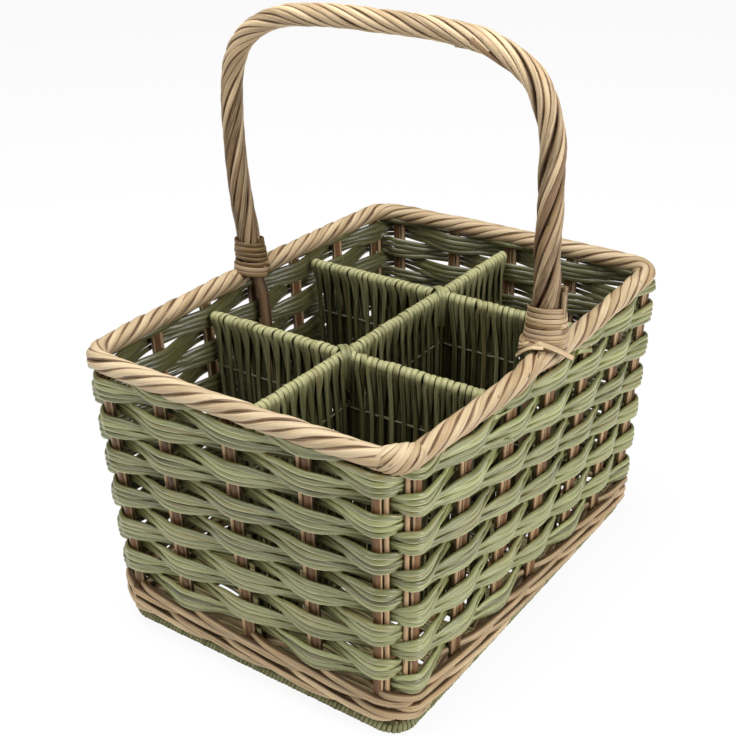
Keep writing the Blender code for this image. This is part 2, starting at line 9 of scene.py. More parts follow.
import bpy
import numpy as np
from mathutils import Matrix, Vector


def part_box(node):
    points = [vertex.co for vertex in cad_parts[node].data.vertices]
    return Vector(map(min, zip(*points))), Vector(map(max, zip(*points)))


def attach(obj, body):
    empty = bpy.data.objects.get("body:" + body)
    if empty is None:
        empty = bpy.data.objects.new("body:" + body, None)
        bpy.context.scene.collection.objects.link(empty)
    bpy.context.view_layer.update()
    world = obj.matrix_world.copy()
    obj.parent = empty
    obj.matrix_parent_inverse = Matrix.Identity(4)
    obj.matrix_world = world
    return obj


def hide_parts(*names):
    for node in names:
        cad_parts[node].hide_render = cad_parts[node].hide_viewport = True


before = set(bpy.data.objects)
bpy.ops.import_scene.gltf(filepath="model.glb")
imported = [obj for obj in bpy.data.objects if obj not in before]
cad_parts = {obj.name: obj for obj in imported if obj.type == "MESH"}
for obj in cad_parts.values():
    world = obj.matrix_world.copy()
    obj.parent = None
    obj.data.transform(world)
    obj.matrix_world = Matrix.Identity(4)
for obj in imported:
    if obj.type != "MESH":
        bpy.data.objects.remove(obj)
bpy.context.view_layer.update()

# Walls, as in the CAD model.
SHORT_WALL_STAKES = 5
LONG_WALL_STAKES = 7
SHORT_WALL_SPACING = 0.0523
LONG_WALL_SPACING = 0.0518
HALF_X = 0.1198
HALF_Y = 0.1675
LEAN = 0.034
SHORT_WALL_BULGE = 0.002
LONG_WALL_BULGE = 0.004
BORDER_Z = 0.21155
STAKES = 2 * (SHORT_WALL_STAKES + LONG_WALL_STAKES)
INSIDE = 0.0096

# How far stakes stand off their even places along the front and the right wall, and the
# most that those of the hidden walls do.
FRONT_SHIFTS = (0.0026, -0.0022, 0.0, 0.0040, -0.0009)
RIGHT_SHIFTS = (0.0012, 0.0013, 0.0009, 0.0008, 0.0017, 0.0036, -0.0018)
HIDDEN_SHIFT = 0.0015

# How far a bend at a corner is pulled in towards the straight line between its two stakes.
CORNER_PULL = 0.45
# Part of a station, to both sides, over which the wall's heading is measured.
HEADING_REACH = 0.13

# Stakes: a thick and a thin rod, how far apart they stand, how far they bend, and the share
# by which they are slimmer at the top.
THICK_ROD = 0.0072
THIN_ROD = 0.0038
ROD_APART = 0.0058
ROD_BEND = 0.00025
ROD_TAPER = 0.06
# The station whose thin rod stands on the corner's side.
TURNED_STAKE = 4

# Green rows: four crowned canes each, drawn together where they pass from side to side.
ROWS = 12
CANES = 4
CANE_WIDTH = 0.0041
CANE_THICKNESS = 0.0028
CANE_OFFSET = 0.0062
CANE_SPACING_AT_STAKE = 0.0041
CANE_SPACING_AT_CROSSING = 0.0030
CANE_TILT_AT_CROSSING = 0.45
CANE_LAP = 0.24
CANE_STAGGER = 0.0008
CANE_WANDER = 0.0003
CANE_STEPS = 12
CANE_SIDES = 10
# Range of the canes' shades, a random tone for each, and painted light: how much paler they are on the
# right wall.
CANE_SHADES = (-0.76, 0.44)
CANE_PAINTED_LIGHT_RIGHT = 0.14
# The last canes fill the gap under the border: how far apart they lie, how far the first
# one is below the top of the last row, and how much they rise inside the stakes.
FILL_CANES = 2
FILL_SPACING = 0.0036
FILL_BELOW = 0.0022
FILL_RISE = 0.0040

# Cut cane ends: station, height, rise along the end and how far it stands out. Each shows
# over this share of the way between two stakes.
CANE_END_SHOWN = 0.16
CANE_END_THICKNESS = 0.0016
CANE_ENDS = (
    (6.76, 0.1772, 0.0035, 0.0085), (6.71, 0.1975, 0.0060, 0.0075), (8.62, 0.1512, 0.0035, 0.0085),
    (8.84, 0.1961, 0.0005, 0.0070),
)

# Wale: rods that pass outside two stakes and inside one.
WALE_ROD = 0.0057
WALE_RODS = 3
WALE_ROUNDS = 2
WALE_STEP = 0.0059
WALE_WANDER = 0.0003
WALE_OFFSET = 0.0068
WALE_STEPS = 10
# How a rod swings out and climbs while it passes three stakes: place, and value there.
WALE_OUT = (
    (0, 0.25, 0.75, 1.2, 1.8, 2.25, 2.75, 3), (-1, -0.92, 0.82, 1.02, 1.02, 0.82, -0.92, -1),
)
WALE_CLIMB = ((0, 0.5, 1, 2, 2.5, 3), (0.6, 1.15, 1, 0, -0.15, 0.6))
# Share of the offset that a rod loses at a corner, over a reach counted in stakes, and the
# stations of the corners.
WALE_PULL = 0.40
WALE_PULL_REACH = 0.8
CORNER_STATIONS = (4.5, 11.5, 16.5, 23.5)

# Foot hoop, wrapped with cane.
HOOP_ROD = 0.0075
HOOP_INSET = 0.0015
HOOP_CORNER = 0.016
HOOP_WRAP_PITCH = 0.0032
HOOP_CANE_WIDTH = 0.0033
HOOP_CANE_THICKNESS = 0.0016
HOOP_STEPS_PER_TURN = 10

# Rope border.
BORDER_ROPE = 0.0145
BORDER_CORNER = 0.020
BORDER_STRANDS = 6
BORDER_STRAND = 0.0049
BORDER_STRAND_WIDTH = 1.32 * BORDER_STRAND
BORDER_STRAND_THICKNESS = 1.02 * BORDER_STRAND
BORDER_CORE = 0.0062
BORDER_STEPS = 560
# Length of one twist on the front, right and hidden walls, and the strands' painted light and shade
# there.
BORDER_LAYS = (0.120, 0.112, 0.095)
BORDER_PAINTED_SHADES = (0.25, -0.35, -0.20)
# How far the right binding draws the border in, at which y, and over which length.
BORDER_DRAWN_IN = 0.0032
BORDER_DRAWN_AT = -0.0225
BORDER_DRAWN_REACH = 0.015
# The strands are folded over each other at the front corner: their ends are sunk into the
# border, and their middles are lifted.
FOLD_LENGTH = 0.030
FOLD_STRANDS = 9
FOLD_WIDTH = 0.0050
FOLD_THICKNESS = 0.0032
FOLD_TURN = 0.80
FOLD_SUNK = 0.0026
FOLD_LIFT = 0.0031

# Bow handle: its feet stand a little inside the middle of the border, it swells and leans
# to the left above them, and its ends lie inside the walls.
HANDLE_CORE = 0.0090
HANDLE_SET_IN = 0.0075
HANDLE_ENDS_INSIDE = 0.0089
HANDLE_SWELL = 0.0062
HANDLE_SWELL_RISE = 0.1100
HANDLE_OVER_TO_LEFT = 0.0070
HANDLE_TOP_RISE = 0.2018
HANDLE_SQUARENESS = 3.5
HANDLE_ROPE_AT_LEG = 0.0180
HANDLE_ROPE_AT_TOP = 0.0155
# The rods round it: width and thickness of their outline as multiples of a unit, and that
# unit as a share of the rope's radius. Painted light and shade: palest at the top.
HANDLE_RODS = 9
HANDLE_ROD_SHAPE = (2.35, 1.9)
HANDLE_ROD_RATIO = 0.265
HANDLE_PAINTED_LEG_SHADE = -0.74
HANDLE_PAINTED_TOP_LIGHT = 1.40
# Length of one twist from the left foot to the right one: share of the way, and length.
HANDLE_LAYS = ((0, 0.3, 0.6, 1), (0.190, 0.120, 0.120, 0.150))
# Where along the handle rods are joined, how far a new end lies on top, and where the
# darker rod faces the front.
HANDLE_JOINT = 0.62
HANDLE_JOINT_LIFT = 0.0007
HANDLE_DARK_SEEN = 0.78

# Cane bound round the feet of the handle: it starts on the border and grows slimmer upwards.
BINDING_WIDTH = 0.0037
BINDING_THICKNESS = 0.0018
BINDING_PITCH = 0.0035
BINDING_LOW = 0.0035
BINDING_SPREAD = 0.0026
BINDING_TOWARD_FRONT = 0.0030
BINDING_SLANT = 0.0022
BINDING_STEPS_PER_TURN = 28
LEFT_BINDING_TURNS = 7
RIGHT_BINDING_TURNS = 8
# The right one bulges at this angle, over the cut ends of three rods beside the leg, which
# are given by direction and height.
BINDING_BULGE = 0.0030
BINDING_BULGE_AT = 0.60
BINDING_BULGE_REACH = 0.85
ROD_ENDS = ((0.22, 0.2545), (0.60, 0.2572), (0.98, 0.2550))
ROD_ENDS_FROM_LEG = 0.0113
ROD_END_WIDTH = 0.0038
ROD_END_THICKNESS = 0.0034

# Loops round the border below the right binding, each lower than the last, and the loose
# strap beside them.
LOOPS = 5
LOOP_CENTRE = (0.1235, -0.0030)
LOOP_RADIUS = 0.0140
LOOP_TOP = 0.2208
LOOP_STEP = 0.0029
LOOP_END_TOP = 0.2238
LOOP_WIDTH = 0.0031
STRAP = (
    (0.1215, -0.0108, 0.2240), (0.1285, -0.0172, 0.2244), (0.1369, -0.0130, 0.2220),
    (0.1465, -0.0030, 0.2130),
)
STRAP_WIDTH = 0.0042
STRAP_THICKNESS = 0.0012
STRAP_FACING = (0.25, -0.55, 0.8)

# Dividers: strands wrapped over a rail and led down in three layers.
DIVIDER_TOP = 0.2017
DIVIDER_RAIL = 0.0090
DIVIDER_PITCH = 0.0046
DIVIDER_STRAND_WIDTH = 0.0043
DIVIDER_STRAND_THICKNESS = 0.0021
DIVIDER_LAYER = 0.0021
# Below the rail a strand closes in to its layer, leans aside and, lower down, sways: how
# far it leans and sways, and the drops over which it does all three.
DIVIDER_SETTLED = 0.011
DIVIDER_LEAN = 0.0011
DIVIDER_DRAWN = 0.042
DIVIDER_SWAY = 0.0010
DIVIDER_SWAY_FROM = 0.075
DIVIDER_SWAY_REACH = 0.1
# A strand is wider on the rail than below it: factors of its width, and the drop between.
DIVIDER_WIDER_AT_RAIL = 1.14
DIVIDER_WIDTH_BELOW = 0.95
DIVIDER_WIDE_DROP = 0.026
# Painted light and shade: how dark a strand is low down, and how much paler on the rail, over this
# depth.
DIVIDER_PAINTED_SHADE = -0.45
DIVIDER_PAINTED_RAIL_LIGHT = 2.1
DIVIDER_PAINTED_LIGHT_DEPTH = 0.0045
# How far round the rail's underside the wraps go, as an angle.
RAIL_UNDERCUT = 0.28
# Rail and bottom rod inside the strands: height, width, thickness and tone.
DIVIDER_RODS = ((0.1972, 0.0046, 0.0046, 0.1), (0.0155, 0.0055, 0.0040, 0.15))
# Drops below the rail's middle at which a strand's path has its points.
DIVIDER_DROPS = (0.006, 0.013, 0.024, 0.038, 0.055, 0.078, 0.105, 0.135, 0.163, 0.1845)
# Thin stays that run through the strands, at these drops below the divider's top.
STAY = 0.0015
STAY_DROPS = (0.043, 0.112)
STAY_FROM_MIDDLE = 0.0013
FRONT_CROSSING_Y = -0.0545
BACK_CROSSING_Y = 0.0687

# Ties over the crossings of the dividers: how far their two strands lie from the middle, how
# far they reach, and how they turn down there and hang.
TIE_LANE = 0.0020
TIE_REACH = 0.0082
TIE_WIDTH = 0.0042
TIE_THICKNESS = 0.0021
TIE_TUCK = 0.0012
TIE_DROP = 0.008
TIE_TAIL = 0.0160

# Base: bands of canes woven across the sticks. Sticks and canes end a little outside the
# stakes' surface, and along both short sides lies a ledge of flat canes.
BASE_STICK = 0.0036
BASE_STICK_PAST = 0.0015
BASE_CANE = 0.0030
BASE_CANE_HEIGHT = BASE_CANE * 0.9
BASE_CANE_PAST = 0.0010
BASE_BAND = 0.0124
BASE_BAND_CANES = 4
BASE_LEDGE = 0.0120
BASE_Z = 0.0106
# A cane lies flat over this length at its ends, and reaches its full swing over this one.
BASE_FLAT_END = 0.004
BASE_SWING_REACH = 0.016

# Camera, fitted to the photograph.
CAMERA_AZIMUTH = math.radians(35.397)
CAMERA_ELEVATION = math.radians(26.731)
CAMERA_ROLL = -0.0172
CAMERA_LENS = 59.84
CAMERA_PLACE = (0.4509, -0.6621, 0.5681)

# Studio: how far the floor shows as white, the strength of the even light, and the lamps
# with place, size and power.
FLOOR_GLOW = 0.92
WORLD_LIGHT = 0.20
LAMP_TARGET = (0.0, 0.0, 0.16)
LAMPS = (
    ("key", (1.7, -0.1, 1.1), 0.7, 20), ("side", (1.8, 0.3, 0.55), 0.8, 9),
    ("top", (-0.2, -0.2, 2.0), 1.2, 43), ("fill", (-0.7, -1.7, 1.6), 1.0, 14),
)

# The four walls, counter-clockwise from above: stakes, spacing, half length, distance
# from the centre, bulge, direction along the wall and direction out of it.
SHORT_WALL = (SHORT_WALL_STAKES, SHORT_WALL_SPACING, HALF_X, HALF_Y, SHORT_WALL_BULGE)
LONG_WALL = (LONG_WALL_STAKES, LONG_WALL_SPACING, HALF_Y, HALF_X, LONG_WALL_BULGE)
WALLS = (
    (*SHORT_WALL, (1, 0), (0, -1)),
    (*LONG_WALL, (0, 1), (1, 0)),
    (*SHORT_WALL, (-1, 0), (0, 1)),
    (*LONG_WALL, (0, -1), (-1, 0)),
)
WALL_NAMES = ("front", "right", "back", "left")
UP = np.array((0.0, 0.0, 1.0))
FRONT = np.array((0.0, -1.0, 0.0))


# Small helpers

def random_for(name):
    """Random numbers that depend on nothing but the piece's name."""
    return np.random.default_rng(list(name.encode()))


def unit(vectors):
    return vectors / np.linalg.norm(vectors, axis=-1, keepdims=True)


def turned(first, second, angle):
    """Directions that are turned by an angle from first towards second."""
    return first * np.cos(angle)[:, None] + second * np.sin(angle)[:, None]


def lengths_along(points):
    steps = np.linalg.norm(np.diff(points, axis=0), axis=1)
    return np.concatenate(([0.0], np.cumsum(steps)))


def sampled(values, length, at):
    """Values along a run, looked up at other lengths."""
    return np.column_stack([np.interp(at, length, values[:, axis]) for axis in range(3)])


def wander(rng, share, waves):
    """Smooth random wave of about unit height. share runs from 0 to 1, and a whole number
    of waves fits, so that it closes on a loop."""
    value = np.zeros_like(share)
    for count in waves:
        value += rng.uniform(0.5, 1.0) * np.sin(2 * np.pi * (count * share + rng.random()))
    return value / math.sqrt(len(waves))


def hidden_shifts(number):
    """Chance shifts of the stakes of a hidden wall."""
    return random_for(WALL_NAMES[number]).uniform(-HIDDEN_SHIFT, HIDDEN_SHIFT, WALLS[number][0])


def oval(width, thickness, sides, squareness=2.0):
    """Outline of a strand: (sideways, outwards), counter-clockwise."""
    angle = 2 * np.pi * np.arange(sides) / sides
    power = 2 / squareness
    across = np.sign(np.cos(angle)) * np.abs(np.cos(angle)) ** power
    out = np.sign(np.sin(angle)) * np.abs(np.sin(angle)) ** power
    return np.column_stack((across * width / 2, out * thickness / 2))


def crowned(width, thickness, sides):
    """Outline of a split cane, with a full outer face, sharp edges and a flatter back."""
    angle = 2 * np.pi * np.arange(sides) / sides
    rise = np.where(np.sin(angle) > 0, 0.62, 0.38)
    out = rise * np.sign(np.sin(angle)) * np.abs(np.sin(angle)) ** 0.58
    return np.column_stack((np.cos(angle) * width / 2, out * thickness))


def round_places(outline):
    """Where each point of an outline lies round it, from 0 to 1. The cosine of that turn
    is the point's place across the strand, from 1 to -1."""
    across = np.clip(outline[:, 0] / np.abs(outline[:, 0]).max(), -1, 1)
    half = np.arccos(across) / (2 * np.pi)
    return np.where(outline[:, 1] >= -1e-9, half, 1 - half)


class Strands:
    """Swept strands gathered into one mesh. The map "strand" runs along each strand in metres
    and once round it, "tone" is a number for each strand, "shade" lightens or darkens parts of
    it: painted light and shade in most pieces, and a random tone for some strands."""

    def __init__(self):
        self.points = []
        self.faces = []
        self.maps = []
        self.tones = []
        self.shades = []
        self.count = 0

    def tube(self, rings, places, tone, shade, closed):
        """Adds a tube through rings of points, an array of (along, round, 3). places are those
        of the points round the strand."""
        steps, sides, _ = rings.shape
        middle = rings.mean(axis=1)
        length = lengths_along(np.vstack((middle, middle[:1])) if closed else middle)
        places = np.append(places, places[0] + 1)
        along = np.arange(len(length) - 1)[:, None]
        around = np.arange(sides)[None, :]
        corners = []
        maps = []
        for far, after in ((0, 0), (0, 1), (1, 1), (1, 0)):
            corners.append((along + far) % steps * sides + (around + after) % sides)
            pair = np.broadcast_arrays(length[along + far], places[around + after])
            maps.append(np.stack(pair, axis=-1))
        self.faces += (np.stack(corners, axis=-1).reshape(-1, 4) + self.count).tolist()
        self.maps.append(np.stack(maps, axis=2).reshape(-1, 2))
        if not closed:
            first = np.arange(sides)
            for ring, order in ((0, first[::-1]), (steps - 1, first)):
                self.faces.append((self.count + ring * sides + order).tolist())
                self.maps.append(np.column_stack((np.full(sides, length[ring]), order / sides)))
        self.points.append(rings.reshape(-1, 3))
        for values, value in ((self.tones, tone), (self.shades, shade)):
            values.append(np.repeat(np.broadcast_to(value, steps), sides))
        self.count += steps * sides

    def sweep(self, path, outs, outline, tone, scale=1.0, tilt=0.0, shade=0.0, closed=False):
        """Adds a strand along a path. outs is where its outline faces, scale widens it, tilt
        turns it. These and its tone and shade are one value, or one for each point."""
        if closed:
            heading = np.roll(path, -1, axis=0) - np.roll(path, 1, axis=0)
        else:
            heading = np.gradient(path, axis=0)
        side = unit(np.cross(outs, heading))
        out = unit(np.cross(heading, side))
        scale = np.broadcast_to(scale, len(path))[:, None, None]
        tilt = np.broadcast_to(tilt, len(path))
        across = turned(side, out, tilt)[:, None, :]
        outward = turned(out, -side, tilt)[:, None, :]
        rings = path[:, None, :] + (across * outline[:, :1] + outward * outline[:, 1:]) * scale
        self.tube(rings, round_places(outline), tone, shade, closed)

    def piece(self, name, material, slot, *nodes):
        """Makes the object, which rides on the basket's only body and stands for the CAD nodes."""
        mesh = bpy.data.meshes.new(name)
        mesh.from_pydata(np.concatenate(self.points).tolist(), [], self.faces)
        layer = mesh.uv_layers.new(name="strand")
        layer.uv.foreach_set("vector", np.concatenate(self.maps).astype(np.float32).ravel())
        for label, values in (("tone", self.tones), ("shade", self.shades)):
            attribute = mesh.attributes.new(label, "FLOAT", "POINT")
            attribute.data.foreach_set("value", np.concatenate(values).astype(np.float32))
        mesh.shade_smooth()
        mesh.set_sharp_from_angle(angle=math.radians(52))
        mesh.materials.append(material)
        obj = bpy.data.objects.new(name, mesh)
        bpy.context.scene.collection.objects.link(obj)
        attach(obj, "root")
        if nodes:
            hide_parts(*nodes)


# Shape of the walls

SHIFTS = (FRONT_SHIFTS, RIGHT_SHIFTS, hidden_shifts(2), hidden_shifts(3))


def on_wall(number, local, z):
    """Points in the plane of a wall's stakes, at places counted in stakes from its first."""
    count, spacing, half, distance, bulge, direction, out = WALLS[number]
    wide = half + LEAN * z
    along = (local - (count - 1) / 2) * spacing * wide / half
    along = along + np.interp(local, np.arange(count), SHIFTS[number])
    outward = distance + LEAN * z + bulge * (z / BORDER_Z) * (1 - (along / wide) ** 2)
    return np.outer(along, direction) + np.outer(outward, out)


def wall_base(station, z):
    """Points on the surface of the stakes. Whole stations are stakes, and halves lie midway."""
    station = np.mod(station, STAKES)
    found = np.zeros((len(station), 2))
    first = 0
    for number, wall in enumerate(WALLS):
        count, _, half, distance, _, direction, out = wall
        local = station - first
        flat = (local >= 0) & (local <= count - 1)
        found[flat] = on_wall(number, local[flat], z[flat])
        bend = (local > count - 1) & (local < count)
        height = z[bend]
        start = on_wall(number, np.full(len(height), count - 1.0), height)
        end = on_wall((number + 1) % 4, np.zeros(len(height)), height)
        corner = np.outer(half + LEAN * height, direction) + np.outer(distance + LEAN * height, out)
        corner = corner + ((start + end) / 2 - corner) * CORNER_PULL
        share = (local[bend] - (count - 1))[:, None]
        found[bend] = start * (1 - share) ** 2 + corner * 2 * share * (1 - share) + end * share ** 2
        first += count
    return found


def wall_points(station, z, offset):
    """Points and outward directions at stations, heights and offsets from the stakes' surface."""
    z = np.broadcast_to(z, station.shape)
    heading = unit(wall_base(station + HEADING_REACH, z) - wall_base(station - HEADING_REACH, z))
    out = np.column_stack((heading[:, 1], -heading[:, 0]))
    flat = wall_base(station, z) + out * np.broadcast_to(offset, station.shape)[:, None]
    return np.column_stack((flat, z)), np.column_stack((out, np.zeros(len(station))))


def stations(steps):
    """Stations all the way round, at even steps between stakes."""
    return np.arange(STAKES * steps) / steps


def ring_path(z, corner, count):
    """Even points and outward directions round the basket at height z, with round corners."""
    points = []
    outs = []
    share = np.linspace(-1, 1, 60)
    bend = np.linspace(0, np.pi / 2, 14)[1:-1]
    for _, _, half, distance, bulge, direction, out in WALLS:
        direction = np.array((*direction, 0.0))
        out = np.array((*out, 0.0))
        straight = half + LEAN * z - corner
        outward = distance + LEAN * z
        swell = bulge * z / BORDER_Z
        side = np.outer(straight * share, direction)
        points.append(side + np.outer(outward + swell * (1 - share ** 2), out) + UP * z)
        outs.append(out + np.outer(2 * share * swell / straight, direction))
        around = turned(out, direction, bend)
        centre = direction * straight + out * (outward - corner) + UP * z
        points.append(centre + around * corner)
        outs.append(around)
    points = np.vstack((*points, points[0][:1]))
    outs = np.vstack((*outs, outs[0][:1]))
    length = lengths_along(points)
    even = length[-1] * np.arange(count) / count
    return sampled(points, length, even), unit(sampled(outs, length, even)), length[-1]


# Materials

class Shading:
    """Node material with a few shortcuts. A colour is linear, with three numbers."""

    def __init__(self, name):
        self.material = bpy.data.materials.new(name)
        self.material.use_nodes = True
        self.tree = self.material.node_tree
        self.shader = self.tree.nodes["Principled BSDF"]

    def put(self, target, value):
        if isinstance(value, bpy.types.NodeSocket):
            self.tree.links.new(value, target)
        elif isinstance(value, tuple) and target.type == "RGBA":
            target.default_value = (*value, 1.0)
        else:
            target.default_value = value

    def node(self, kind, *values, **settings):
        """Adds a node, sets its settings and fills its first inputs."""
        made = self.tree.nodes.new(kind)
        for key, value in settings.items():
            setattr(made, key, value)
        for target, value in zip(made.inputs, values):
            self.put(target, value)
        return made

    def math(self, operation, *values):
        return self.node("ShaderNodeMath", *values, operation=operation).outputs[0]

    def total(self, start, *parts):
        """start plus each value times its weight."""
        for value, weight in parts:
            start = self.math("MULTIPLY_ADD", value, weight, start)
        return start

    def strand_vector(self):
        """Length along the strand and a circle round it, so that a pattern has no seam."""
        place = self.node("ShaderNodeUVMap", uv_map="strand").outputs[0]
        split = self.node("ShaderNodeSeparateXYZ", place)
        turn = self.math("MULTIPLY", split.outputs[1], 2 * math.pi)
        cosine = self.math("COSINE", turn)
        sine = self.math("SINE", turn)
        return self.node("ShaderNodeCombineXYZ", split.outputs[0], cosine, sine).outputs[0]

    def noise(self, vector, stretch, tone, detail=2.0):
        """Noise between 0 and 1. stretch counts its features per metre along and round the strand."""
        scaled = self.node("ShaderNodeVectorMath", vector, stretch, operation="MULTIPLY").outputs[0]
        made = self.node("ShaderNodeTexNoise", noise_dimensions="4D")
        self.put(made.inputs["Vector"], scaled)
        self.put(made.inputs["W"], self.math("MULTIPLY", tone, 91.0))
        made.inputs["Scale"].default_value = 1.0
        made.inputs["Detail"].default_value = detail
        return made.outputs[0]

    def range(self, value, low, high, to_low=0.0, to_high=1.0):
        return self.node("ShaderNodeMapRange", value, low, high, to_low, to_high).outputs[0]

    def mix(self, share, first, second):
        made = self.node("ShaderNodeMix", data_type="RGBA")
        self.put(made.inputs[0], share)
        self.put(made.inputs[6], first)
        self.put(made.inputs[7], second)
        return made.outputs[2]


def cane_material(
    name, dark, light, warm, edge, pith_and_shade=None, roughness=0.46, shine=0.3, painted_edge_from=0.74,
    knots=0.76, lapped=False,
):
    """Cane or willow: a tone for each strand, mottling, fibres and streaks along it, warm
    stretches, a few knots, and a painted edge colour along its two edges, or only along the
    lower one if canes lap over each other: pale, it is a painted highlight, partly the cane's own
    pale edge; dark, it is painted shade in the grooves. A darker line at the very edge is painted
    shade too. pith_and_shade colours the side turned inwards, partly the cane's back and partly
    painted shade."""
    shading = Shading(name)
    vector = shading.strand_vector()
    tone = shading.node("ShaderNodeAttribute", attribute_name="tone").outputs["Fac"]
    shade = shading.node("ShaderNodeAttribute", attribute_name="shade").outputs["Fac"]
    mottle = shading.noise(vector, (38.0, 0.7, 0.7), tone)
    fibre = shading.noise(vector, (85.0, 5.0, 5.0), tone, 3.0)
    streak = shading.noise(vector, (10.0, 6.5, 6.5), tone, 2.0)
    blend = shading.total(
        -1.20, (tone, 0.50), (shade, 0.50), (mottle, 0.75), (fibre, 0.75), (streak, 1.40)
    )
    colour = shading.mix(blend, dark, light)
    patches = shading.noise(vector, (13.0, 0.5, 0.5), tone, 1.0)
    colour = shading.mix(shading.range(patches, 0.50, 0.72, 0.0, 0.6), colour, warm)
    _, across, out = shading.node("ShaderNodeSeparateXYZ", vector).outputs
    if lapped:
        across = shading.math("MULTIPLY", across, -1.0)
    else:
        across = shading.math("ABSOLUTE", across)
    # Painted edge colour: a painted highlight where it is pale, painted shade in the grooves where it is
    # dark.
    inner = shading.range(across, painted_edge_from, painted_edge_from + 0.12)
    painted_edge_share = shading.math("MULTIPLY", inner, shading.range(fibre, 0.25, 0.6, 0.45, 1.0))
    colour = shading.mix(painted_edge_share, colour, edge)
    # Painted shade in the gap at the very edge of a strand.
    painted_groove_shade = tuple(0.3 * part for part in dark)
    colour = shading.mix(shading.range(across, 0.93, 0.99, 0.0, 0.85), colour, painted_groove_shade)
    # Side turned inwards: partly the cane's back, partly painted shade.
    if pith_and_shade:
        colour = shading.mix(shading.range(out, 0.05, -0.45, 0.0, 0.75), colour, pith_and_shade)
    spots = shading.noise(vector, (95.0, 1.3, 1.3), tone, 0.5)
    knot = shading.range(spots, knots, knots + 0.05)
    colour = shading.mix(knot, colour, tuple(0.28 * part for part in dark))
    shading.put(shading.shader.inputs["Base Color"], colour)
    rough = shading.range(fibre, 0.3, 0.7, roughness - 0.07, roughness + 0.09)
    shading.put(shading.shader.inputs["Roughness"], rough)
    shading.shader.inputs["Specular IOR Level"].default_value = shine
    height = shading.total(0.0, (fibre, 0.6), (streak, 0.5), (knot, -0.6))
    bump = shading.node("ShaderNodeBump")
    bump.inputs["Strength"].default_value = 0.6
    bump.inputs["Distance"].default_value = 0.00022
    shading.put(bump.inputs["Height"], height)
    shading.put(shading.shader.inputs["Normal"], bump.outputs[0])
    return shading.material


# Pieces

def swing(station, parity):
    """Which side of the stakes a row is on, from 1 outside to -1 inside. Canes run almost
    straight from stake to stake and bend at the stakes."""
    phase = np.pi * (station - parity)
    return (np.cos(phase) + np.cos(3 * phase) / 16) / 1.0625


def make_rows(material):
    """Twelve rows of canes, each outside the stakes of one parity and inside the others."""
    station = stations(CANE_STEPS)
    share = station / STAKES
    outline = crowned(CANE_WIDTH, CANE_THICKNESS, CANE_SIDES)
    for number in range(1, ROWS + 1):
        node = f"weave_row_{number:02d}"
        rng = random_for(node)
        low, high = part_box(node)
        side = swing(station, number)
        opened = np.sin(np.pi / 2 * np.abs(side))
        middle = (low.z + high.z) / 2 + 0.0005 * wander(rng, share, (5, 11, 23))
        spread = 1 + 0.06 * wander(rng, share, (8, 15, 27))
        spacing = CANE_SPACING_AT_CROSSING * (1 - opened) + CANE_SPACING_AT_STAKE * opened
        strands = Strands()
        for cane in range(CANES):
            place = cane - (CANES - 1) / 2
            drift = wander(rng, share, (7, 12, 19, 31))
            z = middle + place * spacing * spread + CANE_WANDER * drift
            stagger = CANE_STAGGER * (1 - opened) * (1 if cane % 2 else -1)
            offset = (CANE_OFFSET - 0.0002 * place ** 2) * side + stagger
            offset = offset + 0.0002 * wander(rng, share, (9, 17, 29))
            points, outs = wall_points(station, z, offset)
            tilt = CANE_TILT_AT_CROSSING * (1 - opened) - (CANE_LAP + 0.06 * place) * side
            tilt = tilt + 0.09 * wander(rng, share, (8, 21))
            scale = rng.uniform(0.92, 1.06) * (1 + 0.035 * wander(rng, share, (6, 14)))
            # Painted light on the right wall, added to each cane's random shade.
            shade = rng.uniform(*CANE_SHADES) + CANE_PAINTED_LIGHT_RIGHT * outs[:, 0]
            strands.sweep(points, outs, outline, rng.random(), scale, tilt, shade, closed=True)
        strands.piece(f"{node}_canes", material, "green_cane", node)


def make_fill(material):
    """The last few canes, tucked in under the border at every other stake."""
    station = stations(CANE_STEPS)
    share = station / STAKES
    rng = random_for("fill")
    side = swing(station, ROWS + 1)
    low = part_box(f"weave_row_{ROWS:02d}")[1].z - FILL_BELOW + FILL_RISE * (1 - side) / 2
    outline = crowned(CANE_WIDTH, CANE_THICKNESS, CANE_SIDES)
    strands = Strands()
    for cane in range(FILL_CANES):
        z = low + FILL_SPACING * cane + 0.0004 * wander(rng, share, (7, 12, 19))
        points, outs = wall_points(station, z, (CANE_OFFSET - 0.0008 * cane) * side)
        strands.sweep(points, outs, outline, rng.random(), 0.95, closed=True)
    strands.piece("fill_canes", material, "green_cane")


def make_cane_ends(material):
    """Cut ends of canes that come out of the right wall between its rows."""
    strands = Strands()
    share = np.linspace(0, 1, 14)
    outline = crowned(CANE_WIDTH, CANE_END_THICKNESS, CANE_SIDES)
    for station, z, rise, reach in CANE_ENDS:
        where = station - CANE_END_SHOWN * (1 - share)
        points, outs = wall_points(where, z + rise * share ** 3, 0.0005 + reach * share ** 2.5)
        strands.sweep(points, outs, outline, tone=0.9, scale=0.95, tilt=0.25, shade=0.8)
    strands.piece("cane_ends", material, "green_cane")


